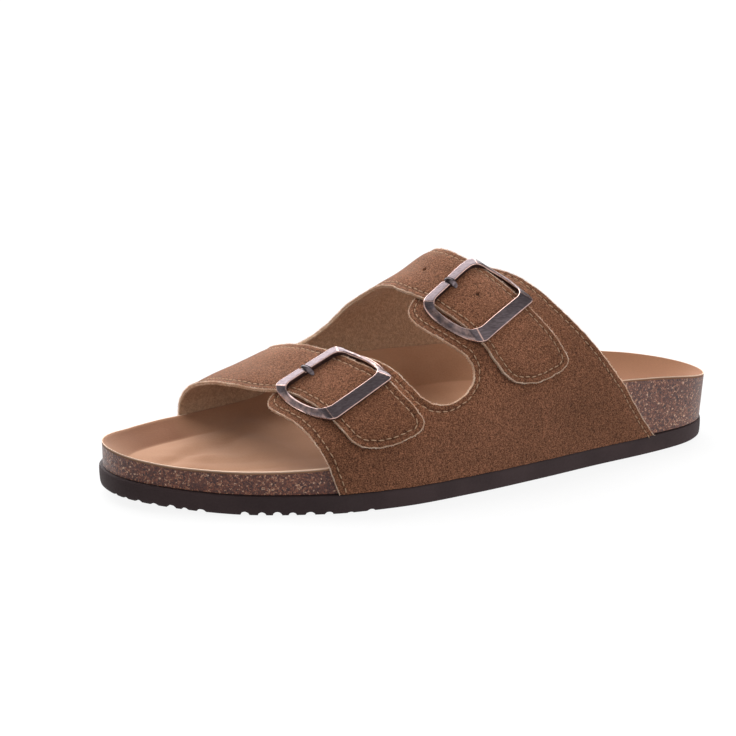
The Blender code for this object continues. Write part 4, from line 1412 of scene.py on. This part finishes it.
def buckle_place(which, across, along, lift):
    """The same for rigid metal: its bars are straight, and arch less than the strap below them."""
    across, along, lift = np.broadcast_arrays(across, along, lift)
    ends = np.array([-half_long, half_long, half_long, -half_long])
    heights = np.array([-half_tall, -half_tall, half_tall, half_tall])
    corner = on_strap(which, ends, heights, BAR_FOOT)
    proud = on_strap(which, ends, heights, BAR_FOOT + 1.0) - corner
    u = (across / BUCKLE_LONG + 0.5)[..., None]
    v = (along / BUCKLE_TALL + 0.5)[..., None]
    plane = (corner[0] * (1 - u) + corner[1] * u) * (1 - v) + (corner[3] * (1 - u) + corner[2] * u) * v
    facing = (proud[0] + proud[1]) * (1 - v) + (proud[2] + proud[3]) * v
    facing /= np.linalg.norm(facing, axis=-1)[..., None]
    arch = ((on_strap(which, across, along, BAR_FOOT) - plane) * facing).sum(-1)
    on_bar = np.clip(np.abs(along) / half_tall * 2 - 0.6, 0, 1)
    arch = arch * (1 - on_bar * (1 - ARCH_KEPT)) + BAR_RAISE * on_bar
    return plane + facing * (arch + lift - BAR_FOOT)[..., None]


print("buckles", BUCKLE_LONG, "by", BUCKLE_TALL, "mm")

# %% Loops of the frame
TOP_BAR = 3.5
LOWER_BAR = 5.5
SIDE_BAR = 2.9
SIDE_BOW = 3.0
BUCKLE_CORNER = 2.2
BUCKLE_TOP_CORNER = 3.4
WINDOW_CORNER = 3.0
CORNER_POINTS = 9
ARM_AT_CORNER = 0.4
STRAIGHT_HALF = 9.0
PIN_ACROSS = -1.3
NOTCH_WIDE = 3.0
NOTCH_STEPS = np.array([-1.0, -0.96, -0.9, -0.5, 0.0, 0.5, 0.9, 0.96, 1.0])
bar_run = np.linspace(-STRAIGHT_HALF, STRAIGHT_HALF, 15)
bar_run = bar_run[np.abs(bar_run - PIN_ACROSS) > NOTCH_WIDE * 0.6]
bar_run = np.sort(np.concatenate([bar_run, PIN_ACROSS + NOTCH_STEPS * NOTCH_WIDE / 2]))
side_run = np.linspace(0.04, 0.96, 15)


def frame_loop(long, top, bottom, low_radius, top_radius):
    """Rounded rectangle with bowed sides, and for each point how far it is on an arm."""
    quarter = np.linspace(0, 1, CORNER_POINTS)
    points, arm = [], []
    for turns, (side, end) in enumerate(((1, bottom), (-1, bottom), (-1, top), (1, top))):
        inwards, radius = (-1, low_radius) if end == bottom else (1, top_radius)
        angle = (quarter + turns) * np.pi / 2
        points.append(np.stack([
            side * (long - radius) + radius * np.cos(angle),
            end + inwards * radius + radius * np.sin(angle)], -1))
        towards_arm = 0.5 - quarter if turns in (0, 2) else quarter - 0.5
        arm.append(2 * ARM_AT_CORNER * np.clip(towards_arm, 0, 1))
        if turns in (0, 2):
            run = bar_run[::-1] if turns == 0 else bar_run
            points.append(np.stack([run, np.full(len(run), end)], -1))
            arm.append(np.zeros(len(run)))
        else:
            first, last = (bottom - low_radius, top + top_radius)[::1 if turns == 1 else -1]
            down = first + (last - first) * side_run
            points.append(np.stack([np.full(len(side_run), side * long), down], -1))
            arm.append(ARM_AT_CORNER + (1 - ARM_AT_CORNER) * np.sin(np.pi * side_run) ** 0.8)
    loop = np.concatenate(points)
    reach = np.cos(np.pi * np.clip(loop[:, 1] / BUCKLE_TALL, -0.5, 0.5))
    side = np.clip(loop[:, 0] / (half_long - SIDE_BAR), -1, 1)
    loop[:, 0] += SIDE_BOW * reach * side ** 3
    return loop, np.concatenate(arm)


outer_loop, on_arm = frame_loop(half_long, -half_tall, half_tall, BUCKLE_CORNER, BUCKLE_TOP_CORNER)
window_loop, _ = frame_loop(
    half_long - SIDE_BAR, TOP_BAR - half_tall, half_tall - LOWER_BAR, WINDOW_CORNER, WINDOW_CORNER)
print("frame loops of", len(outer_loop), "points")

# %% Section of the bars
TOP_BAR_DEEP = 2.1
LOWER_BAR_DEEP = 1.9
LOWER_BAR_SLOPE = 0.9
SLOPE_FROM, SLOPE_OVER = 0.7, 0.15
ARM_FOOT = 0.6
ARM_DIP = 1.0
ARM_ROUND = 1.0
ARM_SLOPE = 1.9
ARM_WEAR = 0.64
MITRE_WEAR = 0.9
NOTCH_FLOOR = 1.2
THIN_SHARE = 0.45
LEAST_DEEP = 0.15
# from the bar's outer foot to the middle of its face: millimetres in, millimetres down, wear
HALF_SECTION = (
    (0.0, None, 0.30), (0.0, 1.0, 0.15), (0.0, 0.34, 0.45), (0.05, 0.20, 1.0), (0.16, 0.06, 1.0),
    (0.30, 0.0, 0.60), (0.50, 0.0, 0.15), (1.10, 0.0, 0.15),
)
bar_wide = np.linalg.norm(window_loop - outer_loop, axis=1)
inwards = (window_loop - outer_loop) / bar_wide[:, None]
share_down = np.clip(outer_loop[:, 1] / BUCKLE_TALL + 0.5, 0, 1)
full_arm = np.minimum(on_arm * 1.5, 1)
bar_foot = BAR_FOOT - (BAR_FOOT - ARM_FOOT) * full_arm
bar_top = BAR_FOOT + TOP_BAR_DEEP + (LOWER_BAR_DEEP - TOP_BAR_DEEP) * share_down - ARM_DIP * on_arm
bar_slope = np.maximum(ARM_SLOPE * on_arm, LOWER_BAR_SLOPE * fade(share_down, SLOPE_FROM, SLOPE_OVER))
in_notch = np.abs(outer_loop[:, 0] - PIN_ACROSS) < NOTCH_WIDE * 0.49
in_notch &= outer_loop[:, 1] < -half_tall + 0.1
bar_top = np.where(in_notch, BAR_FOOT + NOTCH_FLOOR, bar_top)
mitre = (on_arm == 0) & (np.abs(np.roll(on_arm, 1) + np.roll(on_arm, -1)) > 0)


def bar_rows():
    """Rows of points round the bar's section: place, lift and wear."""
    rows = []
    for outer in (True, False):
        for reach, down, wear in HALF_SECTION if outer else HALF_SECTION[::-1]:
            reach = np.minimum(reach, bar_wide * THIN_SHARE)
            shift = inwards * reach[:, None]
            loop = outer_loop + shift if outer else window_loop - shift
            across = reach / bar_wide if outer else 1 - reach / bar_wide
            lift = bar_top - bar_slope * (1 - across) - (down or 0.0)
            lift -= ARM_ROUND * full_arm * (2 * across - 1) ** 2
            lift = bar_foot if down is None else np.maximum(lift, bar_foot + LEAST_DEEP)
            worn = np.full(len(loop), wear)
            if down == 0.0:
                worn = np.maximum(np.where(mitre, MITRE_WEAR, wear), ARM_WEAR * np.minimum(on_arm * 2, 1))
            rows.append((loop, lift, worn))
    return rows


print("section of", len(bar_rows()), "rows, bars", round(float(bar_wide.max()), 1), "mm wide at most")

# %% [markdown]
# ### Antique copper
#
# The frames are plated in antique copper. The plating is dark where it was left alone and bright where it
# rubs. Wear could be read from how sharp the mesh is at each point, but that changes with every point
# that is added. So a reading called wear is stored with the section: high on the rounded edges, the mitred
# corners and the faces of the arms, low on the flats, and below zero on most of a pin, which stays dark.

# %% Buckle frames
PLATE_DARK = rgb(0.110, 0.087, 0.094)
PLATE_LIGHT = rgb(0.172, 0.139, 0.148)
COPPER_BRIGHT = rgb(0.62, 0.41, 0.36)
metal = Finish("antique_copper", Metallic=1.0, Specular_IOR_Level=0.5)
where = metal.place()
stretched = metal.node("ShaderNodeMapping", None, {
    "Vector": where, "Rotation": (0.0, 0.0, 0.35), "Scale": (0.15, 1.0, 1.0)})
brushing = metal.grain(stretched, size_mm=0.5)
cloud = metal.grain(where, size_mm=2.5)
wear = metal.reading("wear")
bright = (wear + (cloud - 0.5) * 0.5).between(0.50, 0.95)
plate = metal.mix(brushing.between(0.3, 0.7), PLATE_DARK, PLATE_LIGHT)
plate = metal.scaled(plate, 0.25 + wear.between(-1.0, 0.0) * 0.75)
metal.show(
    Base_Color=metal.mix(bright, plate, COPPER_BRIGHT),
    Roughness=0.26 - bright * 0.04 + brushing * 0.10,
    Normal=metal.bump(brushing, depth_mm=0.02, strength=0.4))


def make_buckle(which):
    rows = bar_rows()
    points = [buckle_place(which, loop[:, 0], loop[:, 1], lift) for loop, lift, _ in rows]
    return new_piece(
        "buckle_%s_cast" % which, np.concatenate(points), bands(len(rows), len(outer_loop), closed=True),
        metal.material, {"wear": np.concatenate([worn for _, _, worn in rows])}, sharp_deg=45)


buckles = {which: make_buckle(which) for which in BUCKLES}

# %% [markdown]
# ## Pins
#
# A prong holds each strap. Only its end shows: it comes up in the window, bends over the top bar and lies in
# the notch. It is a short tapering bar, so rings along a drawn route are enough.

# %% Pins
PIN_RADIUS = 0.9
PIN_SIDES = 14
PIN_FLATTER = (1.1, 0.9)
# down from the top bar's outer edge, lift above the strap, share of the radius, wear
PIN_ROUTE = np.array((
    (5.4, 2.2, 0.7, -0.4), (5.0, 3.0, 1.0, -0.2), (4.2, 3.75, 1.0, 0.5), (3.0, 4.2, 0.97, -0.4),
    (1.8, 4.35, 0.92, -1.0), (0.7, 4.3, 0.82, -1.0), (0.1, 4.15, 0.45, -1.0),
))


def make_pin(which):
    """The prong: a tapering round bar that comes up in the window and lies in the notch."""
    turn = np.linspace(0, 2 * np.pi, PIN_SIDES, endpoint=False)
    slope = np.gradient(PIN_ROUTE[:, :2], axis=0)
    slope /= np.linalg.norm(slope, axis=1)[:, None]
    rings = []
    for (along, lift, share, _), (run, rise) in zip(PIN_ROUTE, slope):
        thick = PIN_RADIUS * share
        across = PIN_ACROSS + np.cos(turn) * thick * PIN_FLATTER[0]
        up = np.sin(turn) * thick * PIN_FLATTER[1]
        rings.append(buckle_place(which, across, -half_tall + along - up * rise, lift - up * run))
    last = (len(rings) - 1) * PIN_SIDES
    faces = bands(len(rings), PIN_SIDES)
    faces += [tuple(range(PIN_SIDES)), tuple(range(last, last + PIN_SIDES))]
    return new_piece(
        "buckle_pin_%s_prong" % which, np.concatenate(rings), faces, metal.material,
        {"wear": np.repeat(PIN_ROUTE[:, 3], PIN_SIDES)}, sharp_deg=50)


pins = {which: make_pin(which) for which in BUCKLES}

# %% [markdown]
# ## Putting the pieces on the frame
#
# A sandal has no joint: leather and rubber bend, and the buckles are fastened. So every piece rides on the
# one body of the frame. Each finer piece stands for its solid, which then isn't drawn. The table also lists
# the finish that each solid has in the part's record.

# %% Ride and replace
DRESSED = (
    (outsole, "outsole", "outsole_rubber"), (footbed, "footbed", "cork"), (insole, "insole", "insole_suede"),
    (upper, "upper", "upper_suede"), (buckles["front"], "buckle_front", "buckle_metal"),
    (buckles["rear"], "buckle_rear", "buckle_metal"), (pins["front"], "buckle_pin_front", "buckle_metal"),
    (pins["rear"], "buckle_pin_rear", "buckle_metal"),
)
for piece, node, finish in DRESSED:
    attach(piece, "root")
    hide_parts(node)
for trim in (stitches, fibres):
    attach(trim, "root")
print(len(DRESSED), "solids dressed, two pieces of trim added")
